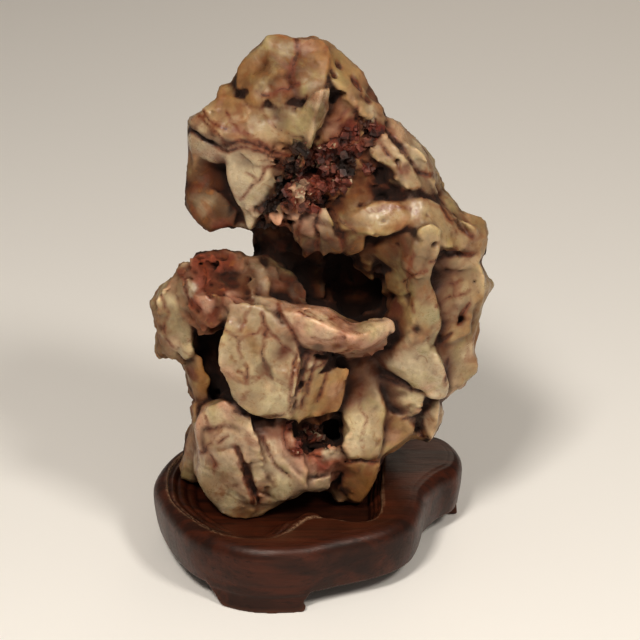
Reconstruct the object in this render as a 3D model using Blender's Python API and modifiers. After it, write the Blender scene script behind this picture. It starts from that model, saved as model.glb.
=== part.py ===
"""A scholar's rock of weathered banded stone, standing in the carved recess of its hardwood stand.

The stone is one solid: overlapping faceted lobes fused together, with its hollows cut out of it.
The stand is one piece of carved wood: a lobed body with a rounded shoulder, a sunk seat and four
feet. Lengths are in metres, +Z is up, and the origin is on the ground under the stone.
"""

import math

import bmesh
import bpy
from mathutils import Vector, noise
from mathutils.bvhtree import BVHTree

MM = 0.001

# The stone is drafted as on a map: squares across the sheet (x to the right, y down) and
# millimetres in front of the stone's middle plane. The sheet faces an eye in front of the stone
# and above it, and every point lies on the line of sight through its square.
SQUARE = 0.4 * MM
SHEET_MIDDLE = 320
SHEET_HEIGHT = 103.4 * MM
# Where the middle of the drawings stands, so that the origin is under the middle of the whole.
PLAN_MIDDLE = Vector((0.3, 4.8)) * MM
EYE_DISTANCE = 900 * MM
EYE_RISE = math.radians(25)

# How the stone's lobes are fused and eased.
LOBE_TAPER = 0.85
FUSING_GRID = 1.3 * MM
# Gaps narrower than twice this reach are filled between the lobes.
GAP_REACH = 1.1 * MM
EASING_ROUNDS = 1
WEATHERING = 1.1 * MM
WEATHERING_SPREAD = 8 * MM
STONE_TRIANGLES = 8200
# How far in front of the middle plane, in millimetres, the search for each pit's place starts.
PIT_START = 60
SOLE_ALLOWANCE = 4 * MM
SOLE_FLATNESS = 0.5 * MM

# The stand, and the small gap that keeps stone and wood apart.
SEAT_HEIGHT = 23 * MM
GAP = 0.3 * MM
STAND_HEIGHT = 30 * MM
APRON_HEIGHT = 8 * MM
SHOULDER_RADIUS = 6 * MM
SHOULDER_STEPS = 4
OUTLINE_STEPS = 3
UNDER_RIM = 11 * MM
UNDER_HEIGHT = 14 * MM
FOOT_TOP = 13 * MM
FOOT_INSET = 0.4 * MM
FOOT_DEPTH = 9 * MM
FOOT_STEPS = 4
# How far apart the points of the stand's outline lie, along it.
OUTLINE_SPACING = 18.5 * MM

# Colours as linear light, and how rough each surface is.
STONE_COLOUR = (0.42, 0.30, 0.20)
STONE_ROUGHNESS = 0.35
WOOD_COLOUR = (0.055, 0.020, 0.012)
WOOD_ROUGHNESS = 0.38
METALLIC = 0.0

# Masses behind the worn faces: how far each reaches back, and its front points.
MASSES = {
    "crown_core": (34, [
        (222, 92, 2), (238, 72, 2), (262, 46, -4), (300, 42, -5), (326, 46, -5), (346, 64, -3),
        (372, 98, 0), (376, 112, 2), (330, 112, 10), (250, 108, 8),
    ]),
    "head_core": (40, [
        (206, 112, 2), (250, 98, 8), (350, 98, 10), (380, 116, 4), (374, 150, 8), (330, 165, 12),
        (245, 160, 12), (206, 130, 4),
    ]),
    "jaw_core": (34, [
        (194, 150, -2), (215, 125, 2), (262, 130, 10), (296, 160, 12), (290, 212, 10), (262, 222, 6),
        (248, 224, 4), (206, 229, 0), (190, 205, -2),
    ]),
    "matrix_core": (40, [
        (262, 125, 14), (330, 120, 14), (372, 142, 10), (380, 188, 10), (352, 214, 12), (322, 216, 11),
        (296, 224, 7), (264, 215, 8), (256, 165, 12),
    ]),
    "neck_core": (26, [
        (254, 206, -1), (330, 206, 1), (338, 240, -6), (330, 300, -10), (290, 302, -8), (262, 285, -9),
        (256, 250, -10),
    ]),
    "shoulder_core": (34, [
        (352, 112, 6), (386, 120, 0), (410, 138, -2), (434, 170, -2), (440, 192, 0), (428, 212, 8),
        (352, 212, 10), (345, 160, 8),
    ]),
    "ridge_core": (36, [
        (345, 205, 10), (400, 200, 10), (445, 202, 2), (478, 234, 0), (478, 256, 2), (440, 262, 8),
        (400, 242, 12), (352, 226, 12),
    ]),
    "flank_core": (36, [
        (398, 250, 10), (440, 250, 10), (480, 260, 0), (484, 290, -2), (474, 345, 0), (476, 366, 0),
        (456, 386, 4), (430, 392, 10), (404, 380, 12), (398, 300, 8),
    ]),
    "hock_core": (24, [
        (396, 384, 6), (442, 388, 4), (440, 410, 4), (430, 426, 4), (404, 424, 4), (392, 404, 6),
    ]),
    "cave_wall": (20, [
        (300, 212, -16), (395, 212, -14), (412, 262, -14), (404, 330, -14), (300, 335, -16),
        (280, 290, -16),
    ]),
    "middle_core": (40, [
        (236, 306, 12), (300, 312, 14), (384, 330, 12), (420, 352, 12), (424, 400, 8), (384, 420, 8),
        (300, 424, 12), (244, 404, 14), (230, 350, 12),
    ]),
    "left_core": (34, [
        (156, 296, -2), (182, 268, -2), (236, 257, -6), (252, 272, -2), (256, 312, 8), (200, 334, 4),
        (160, 345, -2),
    ]),
    "left_low_core": (24, [
        (184, 352, -4), (236, 330, -2), (240, 404, -2), (206, 416, -2), (190, 400, -6),
    ]),
    "base_core": (34, [
        (198, 418, 8), (240, 402, 14), (300, 412, 14), (345, 412, 12), (380, 412, 8), (404, 424, 4),
        (384, 446, 2), (368, 462, 6), (362, 488, 2), (340, 484, 4), (300, 484, 10), (250, 505, 14),
        (214, 500, 12), (199, 470, 6),
    ]),
}

# Worn faces seen from the front: thickness, then the front points.
FACES = {
    "crown_left": (26, [
        (263, 34, 3), (296, 38, 4), (295, 62, 11), (284, 76, 12), (268, 76, 14), (252, 84, 13),
        (236, 88, 11), (233, 76, 8), (239, 62, 5), (252, 48, 3),
    ]),
    "crown_right": (28, [
        (294, 39, 4), (312, 35, 3), (325, 39, 3), (331, 52, 8), (328, 75, 14), (322, 92, 18),
        (312, 99, 20), (300, 103, 17), (288, 97, 14), (284, 80, 11), (293, 62, 10),
    ]),
    "crown_shoulder": (24, [
        (325, 40, 3), (336, 51, 1), (352, 60, 1), (368, 82, 2), (384, 108, 4), (385, 115, 6),
        (372, 117, 11), (359, 112, 14), (350, 102, 14), (346, 88, 13), (332, 84, 14), (326, 62, 9),
    ]),
    "blade": (9, [
        (318, 92, 22), (326, 94, 19), (325, 109, 17), (313, 113, 20), (308, 128, 23), (306, 138, 23),
        (300, 122, 20), (304, 105, 20),
    ]),
    "brow": (25, [
        (252, 102, 14), (265, 101, 15), (276, 107, 17), (292, 110, 18), (303, 112, 20), (308, 130, 23),
        (307, 146, 23), (296, 149, 19), (276, 151, 18), (260, 145, 18), (254, 122, 17),
    ]),
    "brow_left": (24, [
        (218, 103, 8), (238, 100, 11), (252, 103, 14), (257, 125, 18), (262, 146, 19), (250, 144, 20),
        (240, 141, 20), (230, 143, 19), (221, 138, 18), (211, 128, 15), (207, 112, 8),
    ]),
    "nose": (22, [
        (189, 117, 7), (200, 111, 5), (212, 108, 8), (214, 120, 13), (223, 138, 18), (230, 149, 17),
        (221, 146, 17), (205, 137, 15), (191, 129, 11), (187, 123, 8),
    ]),
    "lip": (20, [
        (188, 131, 8), (204, 140, 13), (218, 148, 16), (229, 155, 16), (230, 161, 15), (222, 163, 13),
        (208, 159, 11), (198, 152, 9), (190, 142, 7),
    ]),
    "knob": (12, [
        (217, 92, 4), (221, 86, 3), (230, 84, 4), (238, 90, 8), (236, 98, 10), (224, 100, 9),
    ]),
    "saddle": (20, [
        (246, 94, 10), (262, 81, 11), (278, 78, 12), (282, 90, 13), (278, 106, 16), (262, 102, 14),
        (248, 102, 12),
    ]),
    "jaw_upper": (20, [
        (188, 148, 2), (228, 158, 4), (233, 196, 8), (222, 197, 9), (200, 192, 8), (185, 195, 4),
        (186, 170, 1),
    ]),
    "jaw_lower": (22, [
        (185, 193, 4), (200, 190, 8), (222, 195, 11), (233, 208, 10), (231, 224, 8), (218, 229, 9),
        (209, 232, 9), (198, 222, 7), (184, 206, 3),
    ]),
    "tooth": (24, [
        (228, 163, 15), (231, 150, 18), (246, 146, 20), (262, 152, 21), (273, 160, 20), (265, 170, 20),
        (260, 182, 19), (262, 200, 16), (255, 218, 13), (250, 227, 12), (240, 208, 14), (231, 185, 14),
    ]),
    "tooth_right": (18, [
        (266, 168, 19), (284, 168, 17), (285, 184, 15), (278, 192, 14), (264, 192, 15), (261, 182, 18),
    ]),
    "cheek_crust": (18, [
        (266, 152, 20), (290, 152, 19), (301, 165, 17), (299, 176, 15), (285, 169, 17), (272, 161, 20),
    ]),
    "panel": (18, [
        (326, 101, 10), (352, 104, 12), (350, 120, 12), (341, 123, 13), (337, 140, 15), (318, 142, 16),
        (309, 133, 15), (309, 121, 13), (315, 111, 11),
    ]),
    "panel_side": (16, [
        (342, 122, 12), (352, 106, 11), (357, 113, 12), (357, 130, 11), (351, 140, 12), (339, 142, 13),
    ]),
    "shoulder_lip": (14, [
        (357, 104, 13), (372, 103, 9), (384, 107, 5), (386, 116, 6), (380, 121, 8), (366, 118, 13),
        (358, 115, 14),
    ]),
    "gravel_a": (16, [
        (358, 118, 10), (372, 118, 11), (384, 120, 8), (380, 130, 9), (366, 136, 10), (358, 130, 10),
    ]),
    "gravel_b": (16, [
        (340, 142, 11), (356, 138, 12), (370, 140, 10), (368, 152, 10), (352, 154, 11), (342, 150, 11),
    ]),
    "upper_cap": (18, [
        (384, 118, 4), (395, 117, 2), (403, 123, 2), (402, 138, 7), (391, 142, 9), (379, 134, 8),
    ]),
    "upper_ridge": (22, [
        (401, 124, 1), (420, 140, 0), (433, 156, 0), (440, 172, 1), (441, 188, 3), (434, 180, 7),
        (424, 162, 7), (412, 152, 8), (402, 154, 9), (400, 138, 7),
    ]),
    "bar": (14, [
        (370, 141, 11), (380, 134, 10), (392, 142, 11), (402, 155, 12), (412, 172, 12), (420, 188, 11),
        (414, 191, 13), (402, 187, 15), (390, 177, 15), (378, 163, 14), (369, 151, 13),
    ]),
    "knuckle_a": (16, [(403, 152, 9), (413, 153, 8), (416, 168, 9), (410, 176, 10), (402, 165, 11)]),
    "knuckle_b": (16, [
        (412, 160, 7), (424, 164, 7), (436, 180, 5), (443, 191, 4), (430, 194, 8), (418, 190, 10),
        (408, 178, 10),
    ]),
    "strap_a": (14, [
        (350, 173, 8), (360, 167, 10), (372, 171, 10), (383, 182, 10), (376, 191, 9), (362, 189, 9),
        (352, 183, 8),
    ]),
    "strap_b": (12, [
        (374, 191, 11), (384, 183, 13), (400, 186, 13), (405, 193, 11), (399, 198, 9), (380, 197, 9),
    ]),
    "pink_ledge": (20, [
        (322, 199, 13), (345, 194, 13), (365, 188, 12), (373, 193, 13), (373, 203, 15), (362, 212, 18),
        (350, 223, 19), (335, 225, 18), (325, 215, 16),
    ]),
    "ridge_left": (20, [
        (345, 222, 18), (360, 211, 19), (372, 203, 17), (392, 201, 16), (404, 215, 18), (400, 228, 21),
        (386, 234, 22), (370, 231, 22), (353, 228, 20),
    ]),
    "ridge_right": (22, [
        (388, 202, 15), (430, 200, 12), (441, 208, 11), (455, 215, 9), (470, 232, 7), (480, 246, 5),
        (477, 251, 8), (462, 251, 13), (447, 249, 17), (436, 239, 19), (422, 226, 19), (404, 224, 19),
    ]),
    "post_right": (12, [
        (419, 230, 23), (428, 226, 22), (436, 232, 21), (435, 243, 20), (429, 258, 21), (426, 274, 21),
        (416, 277, 22), (411, 268, 21), (419, 250, 23),
    ]),
    "post_left": (12, [
        (400, 237, 18), (407, 235, 20), (421, 255, 22), (417, 269, 22), (408, 266, 19), (402, 250, 18),
    ]),
    "brown_lobe": (16, [
        (377, 246, 14), (388, 238, 17), (402, 238, 18), (408, 256, 18), (414, 269, 19), (400, 271, 16),
        (385, 263, 14), (378, 256, 12),
    ]),
    "lump_a": (15, [
        (357, 247, 9), (367, 241, 12), (379, 247, 13), (381, 256, 12), (373, 263, 10), (360, 263, 8),
    ]),
    "lump_b": (12, [(356, 268, 6), (366, 264, 9), (372, 268, 9), (373, 274, 8), (363, 277, 6)]),
    "neck_block": (18, [
        (388, 273, 13), (405, 270, 17), (415, 276, 20), (426, 274, 20), (425, 283, 20), (410, 289, 18),
        (398, 292, 15), (388, 286, 12),
    ]),
    "rim_cap_a": (16, [
        (435, 192, 3), (445, 193, 1), (460, 200, 0), (463, 208, 1), (457, 213, 4), (445, 209, 7),
        (437, 203, 7),
    ]),
    "rim_cap_b": (16, [
        (458, 212, 3), (470, 213, 1), (482, 222, 0), (486, 232, 0), (485, 246, 1), (476, 243, 4),
        (469, 236, 6), (461, 225, 6),
    ]),
    "rim_cap_c": (12, [(476, 244, 4), (485, 245, 1), (485, 252, 1), (478, 259, 3), (473, 255, 5)]),
    "right_face": (26, [
        (428, 262, 10), (450, 258, 8), (475, 256, 5), (482, 268, 4), (480, 290, 6), (471, 305, 9),
        (458, 315, 11), (445, 319, 13), (436, 313, 14), (428, 300, 14), (426, 280, 12),
    ]),
    "right_band": (20, [
        (478, 258, 3), (486, 275, 0), (492, 286, -1), (490, 295, 0), (483, 307, 2), (480, 322, 3),
        (475, 334, 4), (470, 336, 6), (466, 322, 8), (472, 300, 7), (474, 280, 5),
    ]),
    "right_low": (26, [
        (437, 343, 14), (452, 334, 12), (468, 331, 8), (474, 340, 5), (472, 350, 5), (478, 362, 4),
        (478, 370, 4), (470, 380, 5), (460, 388, 7), (450, 387, 9), (445, 373, 12), (437, 360, 14),
    ]),
    "right_pebble": (12, [(438, 390, 10), (450, 386, 8), (456, 391, 8), (449, 399, 9), (438, 401, 10)]),
    "column": (14, [
        (412, 288, 18), (425, 280, 20), (428, 292, 20), (430, 308, 20), (440, 318, 19), (441, 330, 18),
        (436, 345, 18), (430, 350, 19), (421, 336, 21), (411, 318, 20), (408, 303, 18),
    ]),
    "shelf_wall": (24, [
        (393, 298, 8), (400, 293, 13), (410, 298, 17), (414, 320, 20), (410, 346, 21), (392, 348, 17),
        (384, 334, 11), (389, 314, 8),
    ]),
    "paddle": (24, [
        (379, 354, 14), (392, 344, 18), (410, 334, 22), (424, 338, 22), (434, 350, 20), (440, 362, 20),
        (446, 376, 19), (449, 390, 17), (443, 399, 17), (432, 398, 18), (420, 391, 19), (405, 381, 18),
        (388, 371, 16), (378, 363, 13),
    ]),
    "low_paddle": (22, [
        (376, 381, 11), (386, 375, 13), (405, 384, 16), (419, 393, 17), (421, 402, 16), (418, 413, 15),
        (405, 418, 13), (392, 412, 12), (380, 399, 11),
    ]),
    "toe": (16, [
        (423, 403, 10), (436, 402, 9), (444, 412, 8), (442, 424, 9), (434, 432, 11), (428, 438, 11),
        (424, 430, 11), (422, 415, 11),
    ]),
    "heel": (20, [
        (376, 430, 13), (385, 414, 13), (402, 417, 14), (414, 422, 12), (410, 434, 12), (392, 448, 14),
        (378, 458, 15), (374, 446, 14),
    ]),
    "thigh": (26, [
        (348, 377, 10), (360, 371, 11), (372, 374, 12), (379, 390, 14), (387, 410, 15), (382, 430, 18),
        (379, 445, 19), (377, 456, 18), (361, 459, 19), (350, 456, 19), (343, 440, 19), (339, 420, 17),
        (342, 400, 14),
    ]),
    "foot": (18, [
        (345, 463, 15), (360, 461, 17), (378, 462, 16), (382, 470, 14), (376, 483, 14), (368, 496, 14),
        (362, 505, 14), (353, 500, 14), (345, 490, 12), (343, 475, 13),
    ]),
    "foot_back": (14, [(330, 486, 7), (340, 477, 8), (347, 484, 9), (347, 501, 9), (336, 503, 7)]),
    "finger": (15, [
        (277, 304, 21), (296, 308, 20), (312, 307, 19), (328, 310, 19), (340, 320, 20), (349, 327, 21),
        (284, 316, 27), (305, 316, 28), (325, 328, 31), (349, 340, 33), (290, 338, 28), (295, 344, 28),
        (308, 350, 28), (325, 354, 28), (349, 351, 29),
    ]),
    "finger_tip": (13, [
        (347, 327, 21), (365, 323, 21), (378, 320, 22), (387, 323, 23), (388, 330, 24), (382, 336, 27),
        (374, 342, 30), (362, 347, 31), (348, 348, 31), (349, 339, 33), (366, 335, 32),
    ]),
    "finger_knob": (10, [
        (374, 322, 23), (381, 319, 22), (388, 323, 23), (389, 329, 24), (383, 332, 26), (374, 330, 27),
    ]),
    "under_finger": (14, [
        (318, 353, 25), (349, 346, 28), (375, 342, 27), (383, 336, 24), (381, 347, 23), (368, 354, 22),
        (345, 357, 22),
    ]),
    "flake": (12, [
        (231, 312, 24), (245, 305, 24), (258, 307, 25), (264, 318, 27), (276, 329, 28), (288, 336, 29),
        (296, 347, 29), (301, 362, 30), (298, 385, 30), (293, 405, 29), (288, 419, 27), (268, 416, 28),
        (250, 410, 28), (232, 396, 28), (227, 388, 28), (226, 372, 28), (218, 360, 27), (218, 350, 27),
        (224, 335, 27), (228, 322, 25),
    ]),
    "flake_cap": (14, [
        (242, 304, 20), (258, 298, 19), (272, 300, 20), (278, 308, 22), (274, 315, 24), (258, 311, 24),
    ]),
    "flake_inset": (14, [
        (262, 312, 24), (277, 308, 23), (283, 318, 25), (290, 334, 28), (284, 334, 28), (273, 327, 27),
        (264, 319, 26),
    ]),
    "chip": (10, [
        (303, 357, 26), (313, 356, 26), (328, 361, 24), (324, 368, 24), (314, 376, 25), (303, 379, 27),
    ]),
    "slat_a": (12, [
        (297, 370, 28), (303, 379, 27), (303, 396, 27), (298, 417, 25), (290, 419, 26), (294, 396, 28),
    ]),
    "slat_b": (14, [
        (303, 390, 26), (316, 376, 25), (327, 373, 23), (314, 392, 25), (307, 412, 25), (300, 418, 25),
    ]),
    "slat_c": (16, [
        (311, 399, 24), (321, 381, 23), (338, 370, 21), (346, 373, 19), (343, 386, 20), (339, 400, 20),
        (336, 411, 20), (318, 413, 22), (308, 415, 24),
    ]),
    "plug": (16, [
        (287, 430, 14), (300, 422, 14), (318, 419, 12), (323, 432, 11), (331, 441, 10), (328, 451, 11),
        (312, 458, 13), (300, 451, 15), (290, 449, 16),
    ]),
    "knee": (26, [
        (212, 404, 20), (222, 400, 21), (236, 403, 22), (241, 411, 22), (235, 421, 23), (240, 438, 23),
        (237, 451, 23), (222, 453, 23), (209, 456, 21), (199, 455, 19), (196, 440, 17), (195, 425, 17),
        (201, 412, 18),
    ]),
    "shin_left": (30, [
        (199, 455, 19), (210, 458, 23), (224, 451, 25), (240, 452, 25), (243, 470, 25), (247, 485, 25),
        (257, 503, 23), (255, 512, 20), (245, 520, 17), (232, 519, 17), (215, 506, 17), (203, 490, 17),
        (197, 472, 17),
    ]),
    "seam_ridge": (12, [
        (240, 424, 22), (248, 420, 23), (251, 440, 25), (248, 453, 25), (241, 450, 24),
    ]),
    "shin_right": (24, [
        (249, 438, 22), (262, 437, 23), (275, 452, 25), (286, 468, 27), (300, 478, 27), (304, 487, 25),
        (297, 494, 23), (280, 500, 21), (263, 504, 19), (258, 490, 21), (254, 470, 23), (249, 455, 23),
    ]),
    "heel_left": (14, [
        (256, 505, 19), (275, 500, 19), (285, 498, 18), (272, 509, 17), (258, 515, 17), (250, 519, 17),
    ]),
    "apron": (22, [
        (248, 418, 19), (268, 420, 20), (285, 421, 21), (289, 430, 21), (290, 449, 22), (301, 456, 23),
        (306, 470, 25), (301, 479, 26), (286, 467, 25), (273, 451, 24), (262, 437, 22), (250, 437, 21),
    ]),
    "fringe": (18, [
        (300, 457, 21), (320, 457, 20), (334, 447, 18), (346, 446, 16), (349, 456, 15), (342, 468, 15),
        (338, 476, 15), (328, 481, 17), (308, 484, 21), (302, 482, 23), (301, 470, 23),
    ]),
    "fringe_lip": (12, [
        (302, 480, 23), (316, 480, 23), (328, 478, 20), (326, 488, 19), (306, 489, 22),
    ]),
    "wing": (26, [
        (149, 299, 4), (158, 287, 3), (170, 276, 3), (181, 272, 7), (187, 284, 12), (192, 302, 14),
        (193, 318, 14), (194, 340, 12), (192, 353, 11), (184, 358, 9), (172, 345, 9), (164, 330, 7),
        (156, 320, 5), (149, 309, 4),
    ]),
    "wing_low": (20, [
        (156, 322, 3), (165, 331, 6), (173, 346, 8), (180, 359, 7), (170, 359, 5), (160, 358, 3),
        (156, 350, 2), (157, 335, 2),
    ]),
    "red_block": (28, [
        (180, 264, 3), (192, 261, 2), (200, 253, 1), (215, 251, -1), (232, 251, -2), (241, 258, 2),
        (243, 268, 6), (250, 285, 12), (252, 298, 17), (240, 305, 20), (225, 305, 20), (205, 303, 18),
        (192, 299, 15), (184, 280, 10),
    ]),
    "red_shelf": (18, [
        (192, 300, 15), (205, 302, 19), (225, 304, 21), (232, 311, 22), (227, 323, 21), (218, 325, 20),
        (206, 326, 18), (198, 331, 15), (192, 323, 14),
    ]),
    "far_edge": (12, [
        (232, 250, -8), (242, 255, -10), (256, 257, -12), (263, 262, -10), (252, 266, -6),
        (240, 262, -4),
    ]),
    "wedge_a": (14, [
        (245, 265, 4), (256, 264, 4), (262, 275, 8), (269, 288, 12), (264, 296, 15), (256, 292, 13),
        (249, 278, 8),
    ]),
    "wedge_b": (16, [
        (258, 263, 2), (266, 259, 2), (279, 268, 4), (291, 278, 6), (299, 284, 8), (301, 292, 10),
        (285, 293, 11), (270, 291, 11), (264, 278, 7),
    ]),
    "wedge_tip": (12, [(293, 286, 10), (300, 283, 10), (305, 291, 11), (303, 303, 13), (294, 302, 13)]),
    "left_post": (22, [
        (184, 362, 3), (196, 357, 9), (206, 366, 9), (209, 380, 9), (207, 396, 9), (201, 408, 9),
        (196, 409, 6), (191, 396, 3), (186, 382, 1), (184, 370, 1),
    ]),
    "left_ear": (14, [(189, 405, -4), (195, 401, -3), (199, 408, -1), (196, 416, -2), (190, 414, -5)]),
    "left_back": (15, [
        (197, 415, 5), (191, 424, 1), (186, 440, -3), (182, 458, -6), (190, 474, -3), (201, 470, 4),
        (200, 440, 7),
    ]),
}

# Lobes of the back, drafted through the stone: thickness towards the front, then points.
BACK_LOBES = {
    "back_crown": (24, [
        (262, 52, -22), (300, 46, -24), (340, 62, -24), (352, 104, -34), (300, 122, -38),
        (246, 106, -32), (240, 78, -26),
    ]),
    "back_temple": (24, [
        (196, 122, -14), (244, 96, -24), (264, 150, -30), (250, 204, -30), (206, 208, -24),
        (190, 165, -18),
    ]),
    "back_nape": (24, [
        (246, 102, -32), (320, 100, -37), (338, 168, -38), (304, 206, -36), (256, 198, -34),
    ]),
    "back_ear": (22, [
        (322, 92, -30), (372, 104, -22), (398, 138, -24), (394, 188, -30), (346, 200, -34),
        (326, 150, -35),
    ]),
    "back_shoulder": (22, [
        (384, 126, -14), (428, 158, -14), (440, 188, -16), (424, 214, -26), (384, 210, -30),
        (374, 162, -26),
    ]),
    "back_rib": (22, [
        (396, 198, -26), (442, 202, -16), (478, 232, -14), (476, 256, -20), (432, 254, -28),
        (394, 232, -32),
    ]),
    "back_flank": (22, [
        (424, 248, -26), (480, 254, -14), (487, 286, -14), (474, 322, -18), (430, 312, -30),
    ]),
    "back_hip": (22, [
        (420, 304, -30), (472, 324, -18), (471, 345, -18), (476, 366, -18), (448, 384, -24),
        (412, 372, -32),
    ]),
    "back_spine": (22, [
        (306, 196, -36), (394, 192, -32), (410, 250, -34), (384, 292, -38), (316, 284, -40),
    ]),
    "back_neck": (20, [
        (258, 214, -28), (312, 200, -35), (322, 290, -38), (276, 312, -34), (258, 284, -28),
    ]),
    "back_cap": (22, [
        (156, 296, -12), (186, 270, -16), (234, 260, -22), (256, 300, -32), (204, 332, -30),
        (158, 336, -18),
    ]),
    "back_wing": (22, [
        (160, 330, -14), (230, 312, -28), (240, 380, -30), (204, 398, -26), (188, 382, -20),
    ]),
    "back_belly": (26, [
        (240, 302, -34), (330, 290, -40), (346, 368, -43), (302, 402, -40), (236, 386, -34),
    ]),
    "back_loin": (26, [
        (328, 290, -40), (418, 302, -34), (424, 368, -34), (382, 400, -38), (340, 382, -42),
    ]),
    "back_heel": (26, [
        (192, 404, -16), (242, 386, -26), (268, 400, -29), (262, 450, -29), (236, 472, -24),
        (196, 474, -16),
    ]),
    "back_sole": (26, [
        (254, 394, -34), (332, 388, -36), (336, 452, -33), (302, 472, -28), (258, 470, -28),
    ]),
    "back_leg": (26, [
        (330, 392, -36), (394, 386, -32), (406, 404, -24), (372, 446, -24), (342, 470, -26),
    ]),
    "back_toe": (18, [
        (396, 394, -14), (438, 402, -6), (436, 426, -6), (420, 438, -8), (400, 436, -14),
    ]),
}

# Spaces open to the front: depth, then the points of the mouth.
HOLLOWS = {
    "cave": (46, [
        (326, 248, 34), (350, 264, 34), (372, 270, 34), (388, 294, 34), (390, 318, 34), (372, 320, 34),
        (352, 325, 34), (338, 318, 34), (322, 300, 34), (318, 268, 34),
    ]),
    "left_hollow": (30, [
        (198, 330, 26), (220, 326, 26), (216, 345, 26), (213, 360, 26), (221, 374, 26), (225, 394, 26),
        (218, 402, 26), (209, 400, 26), (209, 380, 26), (202, 360, 26), (196, 345, 26),
    ]),
    "undercut": (22, [
        (306, 358, 34), (340, 360, 34), (378, 354, 34), (376, 366, 34), (345, 370, 34), (326, 368, 34),
    ]),
    "low_cavity": (32, [
        (320, 418, 30), (334, 412, 30), (344, 420, 30), (344, 438, 30), (332, 444, 30), (322, 436, 30),
    ]),
}

# The stand's outline seen from above, in millimetres, clockwise from the left end.
STAND_OUTLINE = [
    (-69, 6), (-66, -12), (-57, -33), (-45, -46), (-28, -55), (-8, -55), (8, -49), (26, -41),
    (37, -31), (42, -18), (44, -7), (50, 4), (58, 13), (60, 26), (54, 40), (40, 46), (18, 45),
    (-4, 42), (-26, 44), (-46, 41), (-61, 29),
]
# The rim of the sunk seat, in the same way.
SEAT_OUTLINE = [
    (-63, 0), (-60, -16), (-50, -32), (-38, -43), (-22, -46), (-12, -40), (-5, -31), (4, -30),
    (14, -33), (22, -30), (25, -20), (25, -6), (26, 10), (26, 26), (18, 34), (0, 35), (-20, 35),
    (-40, 34), (-55, 28), (-62, 14),
]
# Each foot: where it starts and ends along the stand's outline, counted in points of the outline,
# and how many millimetres it narrows downwards at its start and at its end.
FEET = [(3.0, 5.25, 8, 2), (12.6, 14.5, 4, 4), (16.3, 17.7, 4, 4), (19.1, 20.6, 4, 4)]


# Deep pits in the stone: the square of the sheet, then the radius in millimetres.
PITS = [
    (269, 103, 2.2), (242, 93, 2.6), (300, 155, 2.6), (345, 160, 2.8), (283, 186, 2.6), (281, 198, 2.4),
    (304, 98, 2.0), (340, 93, 2.6), (357, 114, 2.0), (352, 148, 2.2), (372, 160, 2.0), (330, 175, 2.6),
    (310, 170, 2.2), (434, 247, 2.2), (379, 268, 2.4), (388, 199, 2.4), (452, 253, 2.2), (462, 315, 2.2),
    (414, 424, 2.2), (229, 151, 2.2), (206, 140, 2.0), (290, 176, 2.4), (265, 281, 2.4), (222, 276, 2.2),
    (246, 470, 2.4), (252, 488, 2.4), (304, 372, 2.0), (298, 392, 2.0), (312, 432, 3.0), (462, 332, 2.0),
]


def sight_point(x, y, out):
    """The point on the line of sight through a square, out millimetres before the middle plane."""
    up = Vector((0, math.sin(EYE_RISE), math.cos(EYE_RISE)))
    middle = Vector((*PLAN_MIDDLE, SHEET_HEIGHT))
    eye = middle + Vector((0, -math.cos(EYE_RISE), math.sin(EYE_RISE))) * EYE_DISTANCE
    on_sheet = middle + up * ((SHEET_MIDDLE - y) * SQUARE)
    on_sheet.x += (x - SHEET_MIDDLE) * SQUARE
    share = (PLAN_MIDDLE.y - out * MM - eye.y) / (on_sheet.y - eye.y)
    return eye + (on_sheet - eye) * share


def lobe_points(points, depth, above=SEAT_HEIGHT - SOLE_ALLOWANCE):
    """The points of a lobe's face, and those of its narrower far side, depth millimetres away."""
    middle_x = sum(x for x, y, out in points) / len(points)
    middle_y = sum(y for x, y, out in points) / len(points)
    found = [sight_point(x, y, out) for x, y, out in points]
    for x, y, out in points:
        far_x = middle_x + LOBE_TAPER * (x - middle_x)
        far_y = middle_y + LOBE_TAPER * (y - middle_y)
        found.append(sight_point(far_x, far_y, out - depth))
    for point in found:
        point.z = max(point.z, above)
    return found


def add_hull(bm, points):
    """Adds the convex body round some points."""
    corners = [bm.verts.new(point) for point in points]
    made = bmesh.ops.convex_hull(bm, input=corners, use_existing_faces=False)
    loose = [part for part in made["geom_interior"] + made["geom_unused"]
             if isinstance(part, bmesh.types.BMVert)]
    bmesh.ops.delete(bm, geom=list(set(loose)), context="VERTS")


def new_object(name, bm, collection):
    mesh = bpy.data.meshes.new(name)
    bm.normal_update()
    bm.to_mesh(mesh)
    bm.free()
    made = bpy.data.objects.new(name, mesh)
    collection.objects.link(made)
    return made


def add_modifier(part, name, kind, **settings):
    modifier = part.modifiers.new(name, kind)
    for key, value in settings.items():
        setattr(modifier, key, value)
    return modifier


def apply_modifiers(part):
    """Turns a part and its modifiers into a plain mesh."""
    evaluated = part.evaluated_get(bpy.context.evaluated_depsgraph_get())
    finished = bpy.data.meshes.new_from_object(evaluated)
    part.modifiers.clear()
    part.data = finished


def keep_largest_body(part):
    """Removes the closed pockets and crumbs that fusing leaves, and keeps the main body."""
    bm = bmesh.new()
    bm.from_mesh(part.data)
    unseen = set(bm.verts)
    bodies = []
    while unseen:
        stack = [unseen.pop()]
        body = set(stack)
        while stack:
            for edge in stack.pop().link_edges:
                for corner in edge.verts:
                    if corner in unseen:
                        unseen.discard(corner)
                        body.add(corner)
                        stack.append(corner)
        bodies.append(body)
    bodies.sort(key=len)
    crumbs = [corner for body in bodies[:-1] for corner in body]
    bmesh.ops.delete(bm, geom=crumbs, context="VERTS")
    bm.to_mesh(part.data)
    bm.free()


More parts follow.
